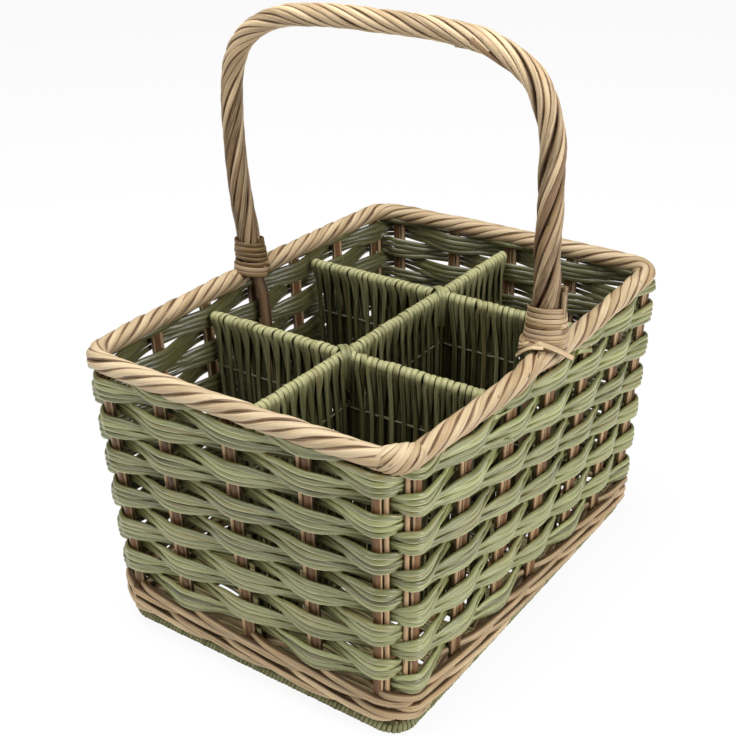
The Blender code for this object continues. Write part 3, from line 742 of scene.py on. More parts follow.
def make_stakes(material, thin_material):
    """A thick and a thin rod at each station."""
    thick = oval(THICK_ROD, THICK_ROD * 0.94, 14)
    thin = oval(THIN_ROD, THIN_ROD, 10)
    station = 0
    for wall, name in zip(WALLS, WALL_NAMES):
        for number in range(wall[0]):
            node = f"{name}_stake_{number + 1}"
            rng = random_for(node)
            low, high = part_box(node)
            z = np.linspace(low.z, high.z, 18)
            share = (z - low.z) / (high.z - low.z)
            aside = ROD_APART if station == TURNED_STAKE else -ROD_APART
            rods = (("thick", 0.0, thick, material), ("thin", aside, thin, thin_material))
            for kind, place, outline, kind_material in rods:
                points, outs = rod_points(station, place, z)
                points = points + outs * (ROD_BEND * wander(rng, share, (1, 2)))[:, None]
                scale = 1 - ROD_TAPER * share + 0.025 * wander(rng, share, (3, 5))
                strands = Strands()
                strands.sweep(points, outs, outline, rng.random(), scale)
                strands.piece(f"{node}_{kind}_rod", kind_material, "stake_willow", node)
            station += 1


def rod_points(station, aside, z):
    """Path of an upright rod at a distance along the wall from a stake."""
    where = np.full(len(z), float(station))
    step = 0.02 * (1 if aside > 0 else -1)
    apart = np.linalg.norm(wall_base(where + step, z) - wall_base(where, z), axis=1)
    where = where + step * abs(aside) / apart
    return wall_points(where, z, 0.0)


def make_wale(material):
    """Two rounds of three rods. Each rod comes out high, passes two stakes and goes in low."""
    station = stations(WALE_STEPS)
    share = station / STAKES
    low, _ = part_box("wale_row_1")
    outline = oval(WALE_ROD, WALE_ROD, 12)
    slack = np.ones(len(station))
    for corner in CORNER_STATIONS:
        slack -= WALE_PULL * np.exp(-((station - corner) / WALE_PULL_REACH) ** 2)
    for level in range(WALE_ROUNDS):
        node = f"wale_row_{level + 1}"
        rng = random_for(node)
        strands = Strands()
        for rod in range(WALE_RODS):
            phase = np.mod(station - rod - 1.5 * level, WALE_RODS)
            out = smoothed(np.interp(phase, *WALE_OUT))
            climb = smoothed(np.interp(phase, *WALE_CLIMB))
            z = low.z + WALE_ROD / 2 + WALE_STEP * (2 * level + climb)
            z = z + WALE_WANDER * wander(rng, share, (11, 23))
            points, outs = wall_points(station, z, WALE_OFFSET * out * slack)
            scale = 1 + 0.07 * wander(rng, share, (5, 13, 27))
            strands.sweep(points, outs, outline, rng.random(), scale, closed=True)
        strands.piece(f"{node}_rods", material, "wale_willow", node)


def smoothed(values):
    """Rounds off the kinks of a closed run of values."""
    for _ in range(3):
        values = (np.roll(values, 1) + 2 * values + np.roll(values, -1)) / 4
    return values


def make_foot_hoop(material, core_material):
    """Rod bent to a hoop, with cane wound closely round it."""
    rng = random_for("foot_hoop")
    _, _, total = ring_path(HOOP_ROD / 2, HOOP_CORNER, 8)
    turns = round(total / HOOP_WRAP_PITCH)
    count = turns * HOOP_STEPS_PER_TURN
    centre, outs, _ = ring_path(HOOP_ROD / 2, HOOP_CORNER, count)
    centre = centre - outs * HOOP_INSET
    share = np.arange(count) / count
    facing = turned(outs, UP, 2 * np.pi * turns * share + 0.9 * wander(rng, share, (13, 31, 57)))
    reach = (HOOP_ROD - HOOP_CANE_THICKNESS) / 2 + 0.00015 * wander(rng, share, (41, 97))
    tone = np.repeat(rng.random(turns), HOOP_STEPS_PER_TURN)
    strands = Strands()
    outline = oval(HOOP_CANE_WIDTH, HOOP_CANE_THICKNESS, 8, 2.4)
    strands.sweep(centre + facing * reach[:, None], facing, outline, tone, closed=True)
    strands.piece("foot_hoop_wrap", material, "foot_wrap", "foot_hoop")
    core = Strands()
    rod = HOOP_ROD - 2.4 * HOOP_CANE_THICKNESS
    rings = slice(None, None, HOOP_STEPS_PER_TURN)
    core.sweep(centre[rings], outs[rings], oval(rod, rod, 8), 0.3, closed=True)
    core.piece("foot_hoop_rod", core_material, "foot_wrap", "foot_hoop")


# Border

def border_ring(count):
    """Centres and outward directions of the border, counter-clockwise from the front corner."""
    centre, outs, total = ring_path(BORDER_Z, BORDER_CORNER, count)
    first = np.argmax(centre[:, 0] - centre[:, 1])
    return np.roll(centre, -first, axis=0), np.roll(outs, -first, axis=0), total / count


def by_wall(outs, values):
    """One of three values for each point: for the front, the right and the hidden walls."""
    front, right, hidden = values
    return np.where(outs[:, 1] < -0.7, front, np.where(outs[:, 0] > 0.7, right, hidden))


def make_border(material, core_material):
    """Six strands twisted round the rim, over a core that shows only in the grooves. They
    begin and end under the fold at the front corner."""
    rng = random_for("rim_border")
    centre, outs, step = border_ring(BORDER_STEPS)
    share = np.arange(BORDER_STEPS) / BORDER_STEPS
    twist = 2 * np.pi * np.cumsum(step / by_wall(outs, BORDER_LAYS))
    painted_wall_light = smoothed(by_wall(outs, BORDER_PAINTED_SHADES))
    strands = Strands()
    outline = oval(BORDER_STRAND_WIDTH, BORDER_STRAND_THICKNESS, 14)
    reach_out = (BORDER_ROPE - BORDER_STRAND_THICKNESS) / 2
    for strand in range(BORDER_STRANDS):
        angle = twist + 2 * np.pi * strand / BORDER_STRANDS
        angle = angle + 0.13 * wander(rng, share, (5, 11, 17, 29))
        reach = reach_out + 0.0004 * wander(rng, share, (9, 21, 37))
        facing = turned(outs, UP, angle)
        scale = 1 + 0.08 * wander(rng, share, (13, 29, 41))
        path = clear_of_bow(centre + facing * reach[:, None])
        # Painted light and shade: set for each wall above, paler where a strand faces up, darker
        # underneath.
        shade = painted_wall_light + 0.25 * facing[:, 2]
        strands.sweep(path, facing, outline, rng.random(), scale, shade=shade)
    strands.piece("rim_border_strands", material, "border_willow", "rim_border")
    core = Strands()
    core.sweep(clear_of_bow(centre), outs, oval(BORDER_CORE, BORDER_CORE, 8), 0.2, closed=True)
    core.piece("rim_border_core", core_material, "border_willow")
    make_fold(centre, outs, step, material)


def make_fold(centre, outs, step, material):
    """Flattened strands wound steeply over the front corner, with tucked ends."""
    rng = random_for("fold")
    half = round(FOLD_LENGTH / 2 / step)
    near = np.arange(-half, half + 1)
    share = (near + half) / (2 * half)
    rise = np.sin(np.pi * np.clip(share * 1.02, 0, 1)) ** 0.6
    outline = oval(FOLD_WIDTH, FOLD_THICKNESS, 12)
    strands = Strands()
    for strand in range(FOLD_STRANDS):
        angle = 2 * np.pi * (FOLD_TURN * share + strand / FOLD_STRANDS)
        angle = angle + 0.1 * wander(rng, share, (1, 2))
        reach = BORDER_ROPE / 2 - FOLD_SUNK + FOLD_LIFT * rise + rng.normal(0, 0.0003)
        facing = turned(outs[near], UP, angle)
        path = centre[near] + facing * reach[:, None]
        scale = 0.35 + 0.65 * rise
        # Painted shade and light: darker towards the tucked ends, paler where a strand faces up.
        shade = 1.3 * rise - 1.4 + 0.6 * facing[:, 2]
        strands.sweep(path, facing, outline, rng.random(), scale, shade=shade)
    strands.piece("border_fold", material, "border_willow")


def clear_of_bow(points):
    """Moves points that lie in the way of the bow outwards, until they pass it. In front of
    the right leg the binding draws the border inwards."""
    moved = points.copy()
    room = HANDLE_CORE / 2 + BORDER_STRAND / 2
    foot = handle_foot_x()
    reach = np.sqrt(np.clip(room ** 2 - moved[:, 1] ** 2, 0, None))
    drawn = BORDER_DRAWN_IN * np.exp(-((moved[:, 1] - BORDER_DRAWN_AT) / BORDER_DRAWN_REACH) ** 2)
    moved[:, 0] -= np.where(moved[:, 0] > 0, drawn, 0.0)
    for side in (-1, 1):
        near = (moved[:, 0] * side > 0) & (reach > 0)
        least = foot + reach
        short = near & (moved[:, 0] * side < least)
        moved[short, 0] = side * least[short]
    return moved


# Handle

def handle_foot_x():
    """Where the right leg's axis passes the border."""
    return HALF_X + LEAN * BORDER_Z + LONG_WALL_BULGE - HANDLE_SET_IN


def leg_x(side, z):
    """Axis of a leg above the border. side is -1 for the left leg."""
    share = np.sin(np.pi / 2 * (z - BORDER_Z) / HANDLE_SWELL_RISE)
    return side * (handle_foot_x() + HANDLE_SWELL * share) - HANDLE_OVER_TO_LEFT * share


def inner_leg_x(z):
    """Axis of the right leg against the inside of the wall."""
    return HALF_X + LEAN * z + LONG_WALL_BULGE * z / BORDER_Z - HANDLE_ENDS_INSIDE - HANDLE_CORE / 2


def arch_path(low_z, step):
    """Even points of the bow's axis, from the left foot at low_z over the top to the right."""
    half = handle_foot_x() + HANDLE_SWELL
    widest = BORDER_Z + HANDLE_SWELL_RISE
    rise = HANDLE_TOP_RISE - HANDLE_SWELL_RISE
    angle = np.linspace(0, np.pi, 401)
    power = 2 / HANDLE_SQUARENESS
    x = -np.sign(np.cos(angle)) * np.abs(np.cos(angle)) ** power * half - HANDLE_OVER_TO_LEFT
    z = widest + rise * np.sin(angle) ** power
    leg_z = np.linspace(low_z, widest, 60)[:-1]
    left = np.column_stack((leg_x(-1, leg_z), leg_z))
    right = np.column_stack((leg_x(1, leg_z), leg_z))[::-1]
    flat = np.vstack((left, np.column_stack((x, z)), right))
    points = np.column_stack((flat[:, 0], np.zeros(len(flat)), flat[:, 1]))
    return evened(points, step)


def evened(points, step):
    """The same run at even steps."""
    length = lengths_along(points)
    count = max(3, round(length[-1] / step))
    return sampled(points, length, np.linspace(0, length[-1], count + 1))


def make_bow(rng, material):
    """The bow, with its legs pushed down inside both walls."""
    low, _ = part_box("handle_core")
    leg_z = np.linspace(BORDER_Z - BORDER_ROPE, low.z + HANDLE_CORE / 2, 12)
    right = np.column_stack((inner_leg_x(leg_z), np.zeros(12), leg_z))
    left = right[::-1] * np.array((-1.0, 1.0, 1.0))
    bow = evened(np.vstack((left, arch_path(BORDER_Z, 0.006), right)), 0.007)
    scale = 1 + 0.02 * wander(rng, np.linspace(0, 1, len(bow)), (17, 41))
    core = Strands()
    core.sweep(bow, FRONT, oval(HANDLE_CORE, HANDLE_CORE, 12), 0.5, scale)
    core.piece("handle_bow", material, "handle_bow", "handle_core")


def make_handle(material, core_material):
    """The bow, and the rods twisted round it. Three are joined, and one goes on darker."""
    rng = random_for("handle_rope")
    make_bow(rng, core_material)
    rope = arch_path(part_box("handle_rope")[0].z, 0.0045)
    length = lengths_along(rope)
    share = length / length[-1]
    lay = np.interp(share, *HANDLE_LAYS)
    twist = 2 * np.pi * np.concatenate(([0.0], np.cumsum(np.diff(length) / lay[1:])))
    height = (rope[:, 2] - rope[0, 2]) / (BORDER_Z + HANDLE_TOP_RISE - rope[0, 2])
    radius = (HANDLE_ROPE_AT_LEG + (HANDLE_ROPE_AT_TOP - HANDLE_ROPE_AT_LEG) * height) / 2
    outer = unit(np.cross(FRONT, np.gradient(rope, axis=0)))
    # Painted light and shade: rods palest at the top of the bow, darker down the legs.
    shade = HANDLE_PAINTED_TOP_LIGHT * height ** 2 + HANDLE_PAINTED_LEG_SHADE
    strands = Strands()
    dark_strands = Strands()
    outline = oval(*HANDLE_ROD_SHAPE, 12)
    seen_turn = -twist[np.searchsorted(share, HANDLE_DARK_SEEN)] / (2 * np.pi)
    dark_rod = round(seen_turn * HANDLE_RODS) % HANDLE_RODS
    for rod in range(HANDLE_RODS):
        angle = twist + 2 * np.pi * rod / HANDLE_RODS + 0.10 * wander(rng, share, (2, 5, 9))
        thickness = radius * HANDLE_ROD_RATIO * (1 + 0.07 * wander(rng, share, (3, 7, 23)))
        reach = radius - thickness * 0.95 + 0.0003 * wander(rng, share, (6, 15))
        parts = [share >= 0]
        if rod % 3 == dark_rod % 3:
            parts = [share < HANDLE_JOINT + 0.03, share > HANDLE_JOINT - 0.02 * (rod % 2)]
        for part, kept in enumerate(parts):
            facing = turned(outer[kept], FRONT, angle[kept] + 0.2 * part)
            path = rope[kept] + facing * (reach + HANDLE_JOINT_LIFT * part)[kept, None]
            chosen = dark_strands if part == 1 and rod == dark_rod else strands
            chosen.sweep(path, facing, outline, rng.random(), thickness[kept], shade=shade[kept])
    strands.piece("handle_rods", material, "handle_willow", "handle_rope")
    dark_strands.piece("handle_dark_rod", core_material, "handle_willow", "handle_rope")


def make_binding(name, side, turns, material):
    """Flat cane wound up one leg from the border, side -1 for the left one."""
    rng = random_for(name)
    count = turns * BINDING_STEPS_PER_TURN
    share = np.arange(count + 1) / count
    angle = 2 * np.pi * turns * share * side
    climb = BINDING_PITCH * turns * share + 0.0003 * wander(rng, share, (5, 11))
    z = BORDER_Z + BINDING_LOW + climb
    loose = (1 - share) ** 1.6
    radius = HANDLE_ROPE_AT_LEG / 2 + 0.0008 + BINDING_THICKNESS / 2 + BINDING_SPREAD * loose
    if side > 0:
        from_ends = np.mod(angle - BINDING_BULGE_AT + np.pi, 2 * np.pi) - np.pi
        radius = radius + BINDING_BULGE * np.exp(-(from_ends / BINDING_BULGE_REACH) ** 2)
    radius = radius + 0.0005 * wander(rng, share, (7, 16))
    facing = np.column_stack((np.cos(angle), np.sin(angle), np.zeros(count + 1)))
    slant = -BINDING_SLANT * np.sin(angle) * (1 if side > 0 else 0.6)
    middle = np.column_stack((leg_x(side, z), -BINDING_TOWARD_FRONT * loose, z + slant))
    wraps = np.floor(turns * share).astype(int)
    scale = 1 + 0.13 * rng.normal(0, 1, turns + 1)[wraps]
    scale = np.convolve(np.pad(scale, 5, mode="edge"), np.ones(11) / 11, mode="valid")
    # Painted shade: the left binding is darker than the right one; each wrap also has a random tone of
    # its own.
    shade = 0.40 * side - 0.25 + 0.45 * rng.normal(0, 1, turns + 1)[wraps]
    strands = Strands()
    outline = oval(BINDING_WIDTH, BINDING_THICKNESS, 10, 2.4)
    path = middle + facing * radius[:, None]
    strands.sweep(path, facing, outline, rng.random(), scale, shade=shade)
    if side > 0:
        add_loops(strands, rng)
        add_rod_ends(strands, rng)
    strands.piece(f"{name}_cane", material, "binding_cane", name)


def rounded(points, step):
    """A smooth run through the middles of a rough one, at even steps, with its ends kept."""
    points = np.array(points)
    for _ in range(3):
        near = 0.75 * points[:-1] + 0.25 * points[1:]
        far = 0.25 * points[:-1] + 0.75 * points[1:]
        cut = np.stack((near, far), axis=1).reshape(-1, 3)
        points = np.vstack((points[:1], cut, points[-1:]))
    return evened(points, step)


def add_loops(strands, rng):
    """Loops round the inner side of the border, and one loose end that points outwards."""
    outline = oval(LOOP_WIDTH, BINDING_THICKNESS, 10, 2.3)
    x, y = LOOP_CENTRE
    for number in range(LOOPS):
        angle = np.radians(np.linspace(100, 246 + 15 * number, 24))
        reach = LOOP_RADIUS + rng.normal(0, 0.0003)
        low = LOOP_TOP - LOOP_STEP * number
        climb = np.clip((angle - math.radians(200)) / math.radians(70 + 4 * number), 0, 1)
        climb = climb * climb * (3 - 2 * climb)
        z = low + (LOOP_END_TOP - 0.0003 * number - low) * climb
        back = y - 0.0008 * number
        path = np.column_stack((x + reach * np.cos(angle), back + reach * np.sin(angle), z))
        outs = path - np.array((x + 0.0015, y, low - 0.0060))
        tone = rng.random()
        scale = rng.uniform(0.9, 1.05)
        strands.sweep(path, outs, outline, tone, scale, shade=0.5 * rng.normal(0, 1))
    outline = oval(STRAP_WIDTH, STRAP_THICKNESS, 10, 2.8)
    strands.sweep(rounded(STRAP, 0.002), STRAP_FACING, outline, 0.7, shade=0.1)


def add_rod_ends(strands, rng):
    """Cut ends of three rods behind the right leg."""
    outline = oval(ROD_END_WIDTH, ROD_END_THICKNESS, 10)
    for turn, top in ROD_ENDS:
        aside = np.array((math.cos(turn), math.sin(turn), 0.0))
        foot = np.array((leg_x(1, BORDER_Z), 0.0, BORDER_Z + 0.008)) + aside * ROD_ENDS_FROM_LEG
        head = np.array((leg_x(1, top), 0.0, top)) + aside * (ROD_ENDS_FROM_LEG + 0.0014)
        strands.sweep(evened(np.array((foot, head)), 0.004), FRONT, outline, rng.random())


# Dividers

def make_divider(name, start, direction, half_lengths, material, stay_material):
    """Strands wrapped over a rail. half_lengths gives where the divider begins and ends at a
    height, measured along direction from start."""
    rng = random_for(name)
    rail_z = DIVIDER_TOP - DIVIDER_RAIL / 2
    first, last = half_lengths(rail_z)
    across = np.abs((direction[1], direction[0], 0.0))

    def place(along, sideways, z):
        """Points at lengths along the divider, distances from its middle and heights."""
        low, high = half_lengths(z)
        along = low + (along - first) / (last - first) * (high - low)
        sideways, z = (np.broadcast_to(value, along.shape) for value in (sideways, z))
        flat = np.outer(along, (*direction, 0.0)) + np.outer(sideways, across)
        return (*start, 0.0) + flat + np.outer(z, UP)

    count = int((last - first) / DIVIDER_PITCH)
    pitch = (last - first) / count
    strands = Strands()
    outline = oval(DIVIDER_STRAND_WIDTH, DIVIDER_STRAND_THICKNESS, 8, 2.3)
    wrap_radius = (DIVIDER_RAIL - DIVIDER_STRAND_THICKNESS) / 2
    drops = np.array(DIVIDER_DROPS)
    settle = 1 - np.exp(-drops / DIVIDER_SETTLED)
    drawn = np.minimum(drops / DIVIDER_DRAWN, 1.0)
    angle = np.linspace(-RAIL_UNDERCUT, math.pi + RAIL_UNDERCUT, 9)
    faces = np.repeat((1, 0, -1), (len(drops), len(angle), len(drops)))[:, None]
    for wrap in range(count):
        along = first + pitch * (wrap + 0.5) + rng.normal(0, 0.0002)
        even = wrap % 2 == 0
        layers = (DIVIDER_LAYER, 0.0) if even else (0.0, -DIVIDER_LAYER)
        layers = (layers[0] + rng.normal(0, 0.0002), layers[1] + rng.normal(0, 0.0002))
        legs = []
        for face, layer in zip((1, -1), layers):
            toward = 1 if even == (face > 0) else -1
            lean = toward * pitch / 2 + DIVIDER_LEAN * rng.normal(0, 1)
            sway = lean * drawn * drawn * (3 - 2 * drawn)
            far = np.maximum(0.0, (drops - DIVIDER_SWAY_FROM) / DIVIDER_SWAY_REACH)
            sway = sway + rng.normal(0, DIVIDER_SWAY) * far
            sideways = face * wrap_radius * (1 - settle) + layer * settle
            legs.append(np.column_stack((along + sway, sideways, rail_z - drops)))
        skew = 1.5 * rng.normal(0.0006, 0.0003)
        proud = wrap_radius + rng.normal(0.0, 0.00025)
        over = np.column_stack((
            along - skew * np.cos(angle), wrap_radius * np.cos(angle), rail_z + proud * np.sin(angle),
        ))
        run = np.vstack((legs[0][::-1], over, legs[1]))
        below = run[:, 2] - rail_z
        radial = np.outer(run[:, 1], across) + np.outer(below, UP)
        outs = np.where(faces == 0, radial, faces * across)
        width = np.interp(below, (-DIVIDER_WIDE_DROP, 0), (DIVIDER_WIDTH_BELOW, DIVIDER_WIDER_AT_RAIL))
        scale = width * rng.uniform(0.92, 1.06)
        # Painted light and shade: strands paler on top of the rail, darker lower down.
        pale = np.exp((below - wrap_radius) / DIVIDER_PAINTED_LIGHT_DEPTH)
        shade = DIVIDER_PAINTED_RAIL_LIGHT * pale + DIVIDER_PAINTED_SHADE
        strands.sweep(place(*run.T), outs, outline, rng.random(), scale, shade=shade)
    for z, width, thickness, tone in DIVIDER_RODS:
        rod = evened(place(np.array((first, last)), 0.0, z), 0.02)
        strands.sweep(rod, UP, oval(width, thickness, 8), tone)
    strands.piece(f"{name}_strands", material, "dark_green_cane", name)
    stays = Strands()
    along = np.linspace(first, last, count + 1)
    for drop in STAY_DROPS:
        for face in (-1, 1):
            z = DIVIDER_TOP - drop + rng.normal(0, 0.0003, len(along))
            stays.sweep(place(along, face * STAY_FROM_MIDDLE, z), UP, oval(STAY, STAY, 6), rng.random())
    stays.piece(f"{name}_stays", stay_material, "dark_green_cane")


def make_dividers(material, stay_material):
    def long_reach(z):
        reach = HALF_Y + LEAN * z + SHORT_WALL_BULGE * z / BORDER_Z - INSIDE
        return -reach, reach

    make_divider("long_divider", (0, 0), (0, 1), long_reach, material, stay_material)
    for place, y in (("front", FRONT_CROSSING_Y), ("back", BACK_CROSSING_Y)):
        def cross_reach(z, y=y):
            swell = LONG_WALL_BULGE * (z / BORDER_Z) * (1 - (y / (HALF_Y + LEAN * z)) ** 2)
            return DIVIDER_RAIL / 2 + 0.0002, HALF_X + LEAN * z + swell - INSIDE

        for side, x in (("left", -1), ("right", 1)):
            name = f"cross_divider_{place}_{side}"
            make_divider(name, (0, y), (x, 0), cross_reach, material, stay_material)
        make_tie(f"crossing_tie_{place}", y, material)


def make_tie(name, y, material):
    """Two strands over a crossing, from one corner to the opposite one. They follow the
    rails under them and then hang down into the corners."""
    rng = random_for(name)
    rail = DIVIDER_RAIL / 2
    centre = np.array((0.0, y, DIVIDER_TOP - rail))
    heading = np.array((1.0, -1.0, 0.0)) / math.sqrt(2)
    beside = np.array((-1.0, -1.0, 0.0)) / math.sqrt(2)
    reach = np.linspace(-TIE_REACH, TIE_REACH, 15)
    outline = oval(TIE_WIDTH, TIE_THICKNESS, 10, 2.3)
    strands = Strands()
    for lane in (-TIE_LANE, TIE_LANE):
        past = np.abs(np.abs(reach) - abs(lane)) / math.sqrt(2)
        high = np.sqrt(np.maximum(rail ** 2 - past ** 2, 0)) + 0.0013
        high[1:-1] = (high[:-2] + 2 * high[1:-1] + high[2:]) / 4
        aside = lane + 0.0016 * np.clip(-reach / 0.008, 0, 1) + 0.0003 * rng.normal(0, 1)
        path = centre + np.outer(reach, heading) + np.outer(aside, beside) + np.outer(high, UP)
        first = path[0] + heading * TIE_TUCK - UP * TIE_DROP
        bend = path[-1] - heading * TIE_TUCK - UP * TIE_DROP
        last = bend - heading * 0.0030 - UP * (TIE_TAIL + 0.004 * rng.random())
        path = rounded(np.vstack((first, path, bend, last)), 0.0014)
        # Painted light and shade: paler on top of the rails, darker where the strands hang down.
        shade = np.interp(path[:, 2] - centre[2], (-0.020, 0.003), (-0.9, 0.3))
        strands.sweep(path, path - centre + UP * 0.003, outline, rng.random(), shade=shade)
    strands.piece(f"{name}_strands", material, "dark_green_cane", name)


def make_base(material, stick_material):
    """Sticks lengthwise, and bands of canes that pass over one stick and under the next."""
    rng = random_for("base_weave")
    reach = HALF_Y + LEAN * BASE_Z + BASE_STICK_PAST
    for number in range(4):
        x = (number - 1.5) * SHORT_WALL_SPACING
        path = evened(np.array(((x, -reach, BASE_Z), (x, reach, BASE_Z))), 0.02)
        share = np.linspace(0, 1, len(path))
        path[:, 0] += 0.0004 * wander(rng, share, (2, 5))
        strands = Strands()
        strands.sweep(path, UP, oval(BASE_STICK, BASE_STICK, 10), rng.random())
        node = f"base_stick_{number + 1}"
        strands.piece(f"{node}_rod", stick_material, "base_willow", node)
    weave = Strands()
    half = HALF_X + LEAN * BASE_Z + BASE_CANE_PAST
    inner = reach - BASE_LEDGE
    bands = round(2 * inner / BASE_BAND)
    pitch = 2 * inner / bands / BASE_BAND_CANES
    lift = (BASE_STICK + BASE_CANE_HEIGHT) / 2
    outline = oval(BASE_CANE, BASE_CANE_HEIGHT, 8)
    lanes = int((reach - 0.0020) / pitch)
    for lane in range(-lanes, lanes):
        y = (lane + 0.5) * pitch
        band = math.floor((y + inner) / (2 * inner / bands))
        past = max(0.0, abs(y) - (reach - HOOP_CORNER))
        wide = half - HOOP_CORNER + math.sqrt(max(HOOP_CORNER ** 2 - past ** 2, 0.0))
        x = np.linspace(-wide, wide, 42)
        free = np.clip((wide - np.abs(x) - BASE_FLAT_END) / BASE_SWING_REACH, 0, 1)
        side = np.cos(np.pi * (x / SHORT_WALL_SPACING + 0.5 + band)) * (abs(y) <= inner)
        share = x / (2 * wide) + 0.5
        z = BASE_Z + lift * free * side * (1.5 - 0.5 * side ** 2)
        z = z + 0.0002 * wander(rng, share, (3, 7))
        path = np.column_stack((x, y + 0.0002 * wander(rng, share, (2, 5)), z))
        weave.sweep(path, UP, outline, rng.random(), rng.uniform(0.93, 1.06))
    weave.piece("base_weave_canes", material, "base_willow", "base_weave")


# Studio

def put_in(name, data, right, up, back, place):
    """Adds a camera or a lamp with its own three directions."""
    obj = bpy.data.objects.new(name, data)
    columns = np.eye(4)
    columns[:3] = np.column_stack((right, up, back, place))
    obj.matrix_world = Matrix(columns.tolist())
    bpy.context.scene.collection.objects.link(obj)
    return obj


def make_camera():
    data = bpy.data.cameras.new("camera")
    data.lens = CAMERA_LENS
    data.sensor_width = 36.0
    data.clip_start = 0.01
    a, e, r = CAMERA_AZIMUTH, CAMERA_ELEVATION, CAMERA_ROLL
    back = np.array((math.sin(a) * math.cos(e), -math.cos(a) * math.cos(e), math.sin(e)))
    right = np.array((math.cos(a), math.sin(a), 0.0))
    up = np.cross(back, right)
    turned_right = math.cos(r) * right + math.sin(r) * up
    turned_up = math.cos(r) * up - math.sin(r) * right
    camera = put_in("camera", data, turned_right, turned_up, back, CAMERA_PLACE)
    bpy.context.scene.camera = camera


def make_lamp(name, place, size, power):
    """Square lamp that faces the basket."""
    data = bpy.data.lights.new(name, "AREA")
    data.energy = power
    data.size = size
    back = unit(np.array(place) - LAMP_TARGET)
    right = unit(np.cross(UP, back))
    put_in(name, data, right, np.cross(back, right), back, place)


def seen_white(tree, shader, kind, share, output):
    """Mixes white of strength 1 over a shader, for rays from the camera alone."""
    white = tree.nodes.new(kind)
    white.inputs["Color"].default_value = (1, 1, 1, 1)
    white.inputs["Strength"].default_value = 1.0
    amount = tree.nodes.new("ShaderNodeMath")
    amount.operation = "MULTIPLY"
    amount.inputs[1].default_value = share
    mix = tree.nodes.new("ShaderNodeMixShader")
    rays = tree.nodes.new("ShaderNodeLightPath")
    tree.links.new(rays.outputs["Is Camera Ray"], amount.inputs[0])
    tree.links.new(amount.outputs[0], mix.inputs[0])
    tree.links.new(shader.outputs[0], mix.inputs[1])
    tree.links.new(white.outputs[0], mix.inputs[2])
    tree.links.new(mix.outputs[0], output.inputs[0])


def make_floor():
    """Pale floor, seen as nearly white but with the basket's shadow."""
    size = 8.0
    mesh = bpy.data.meshes.new("floor")
    corners = [(-size, -size), (size, -size), (size, size), (-size, size)]
    mesh.from_pydata([(x, y, -0.0001) for x, y in corners], [], [(0, 1, 2, 3)])
    floor = bpy.data.objects.new("floor", mesh)
    bpy.context.scene.collection.objects.link(floor)
    material = bpy.data.materials.new("floor_white")
    material.use_nodes = True
    tree = material.node_tree
    shader = tree.nodes["Principled BSDF"]
    shader.inputs["Base Color"].default_value = (0.9, 0.9, 0.9, 1)
    shader.inputs["Roughness"].default_value = 0.9
    seen_white(tree, shader, "ShaderNodeEmission", FLOOR_GLOW, tree.nodes["Material Output"])
    mesh.materials.append(material)


def make_world():
    """Even grey light from all sides, seen as white."""
    world = bpy.data.worlds.new("studio")
    world.use_nodes = True
    tree = world.node_tree
    shader = tree.nodes["Background"]
    shader.inputs["Color"].default_value = (1, 1, 1, 1)
    shader.inputs["Strength"].default_value = WORLD_LIGHT
    seen_white(tree, shader, "ShaderNodeBackground", 1.0, tree.nodes["World Output"])
    bpy.context.scene.world = world


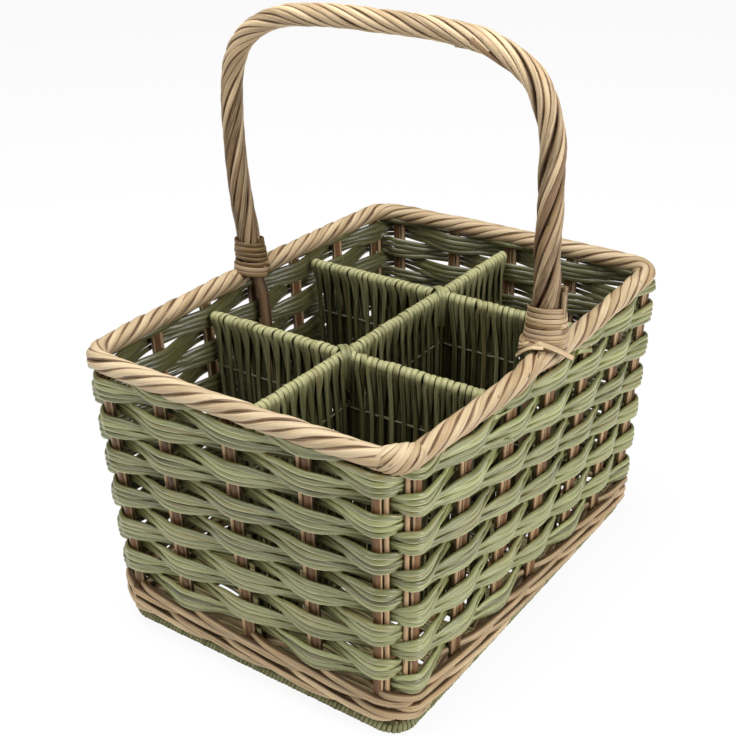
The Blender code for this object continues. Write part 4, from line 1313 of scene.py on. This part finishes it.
def main():
    make_camera()
    make_world()
    make_floor()
    for lamp in LAMPS:
        make_lamp(*lamp)

    # Fourth colour of a material: its painted edge, a painted highlight on the green canes and the
    # stakes, painted shade in the grooves elsewhere. Fifth: the side turned inwards, partly painted
    # shade, near black on the dividers for the shade seen through their gaps.
    painted_groove_brown = (0.130, 0.068, 0.030)
    green = cane_material(
        "green_cane", (0.062, 0.060, 0.012), (0.290, 0.309, 0.118), (0.27, 0.22, 0.08),
        (0.640, 0.620, 0.340), (0.064, 0.058, 0.019), 0.34, 0.8, 0.60, lapped=True,
    )
    dark_green = cane_material(
        "divider_cane", (0.034, 0.035, 0.010), (0.345, 0.335, 0.165), (0.17, 0.13, 0.045),
        (0.085, 0.085, 0.028), (0.022, 0.021, 0.008), 0.42, painted_edge_from=0.80,
    )
    hoop = cane_material(
        "hoop_cane", (0.100, 0.105, 0.036), (0.380, 0.380, 0.180), (0.28, 0.22, 0.10), (0.10, 0.09, 0.04)
    )
    stake = cane_material(
        "stake_willow", (0.042, 0.018, 0.006), (0.185, 0.092, 0.037), (0.22, 0.108, 0.043),
        (0.560, 0.390, 0.220), None, 0.45, painted_edge_from=0.76,
    )
    thin = cane_material(
        "thin_willow", (0.270, 0.160, 0.085), (0.560, 0.390, 0.220), (0.45, 0.28, 0.15),
        (0.20, 0.11, 0.05), None, 0.45,
    )
    border = cane_material(
        "border_willow", (0.290, 0.198, 0.102), (0.590, 0.468, 0.298), (0.41, 0.28, 0.155),
        painted_groove_brown, None, 0.45, painted_edge_from=0.70, knots=0.74,
    )
    wale = cane_material(
        "wale_willow", (0.165, 0.105, 0.048), (0.700, 0.535, 0.320), (0.38, 0.24, 0.11),
        painted_groove_brown, None, 0.45, painted_edge_from=0.76, knots=0.74,
    )
    handle = cane_material(
        "handle_willow", (0.105, 0.062, 0.027), (0.725, 0.550, 0.338), (0.30, 0.185, 0.082),
        painted_groove_brown, None, 0.45, painted_edge_from=0.70, knots=0.74,
    )
    bow = cane_material(
        "bow_willow", (0.130, 0.075, 0.040), (0.330, 0.205, 0.110), (0.25, 0.16, 0.08), painted_groove_brown, None, 0.5
    )
    binding = cane_material(
        "binding_cane", (0.135, 0.082, 0.033), (0.590, 0.440, 0.265), (0.36, 0.22, 0.10),
        painted_groove_brown, None, 0.40, painted_edge_from=0.80,
    )
    base = cane_material(
        "base_cane", (0.090, 0.085, 0.032), (0.280, 0.250, 0.110), (0.25, 0.18, 0.09), painted_groove_brown, None, 0.5
    )
    stay = cane_material(
        "stay_cane", (0.080, 0.085, 0.040), (0.220, 0.225, 0.130), (0.18, 0.15, 0.09), (0.12, 0.12, 0.06)
    )

    make_foot_hoop(hoop, bow)
    make_base(base, stake)
    make_stakes(stake, thin)
    make_wale(wale)
    make_rows(green)
    make_fill(green)
    make_cane_ends(green)
    make_border(border, bow)
    make_handle(handle, bow)
    make_binding("handle_binding_left", -1, LEFT_BINDING_TURNS, binding)
    make_binding("handle_binding_right", 1, RIGHT_BINDING_TURNS, binding)
    make_dividers(dark_green, stay)

    bpy.context.scene.view_settings.view_transform = "Standard"


main()
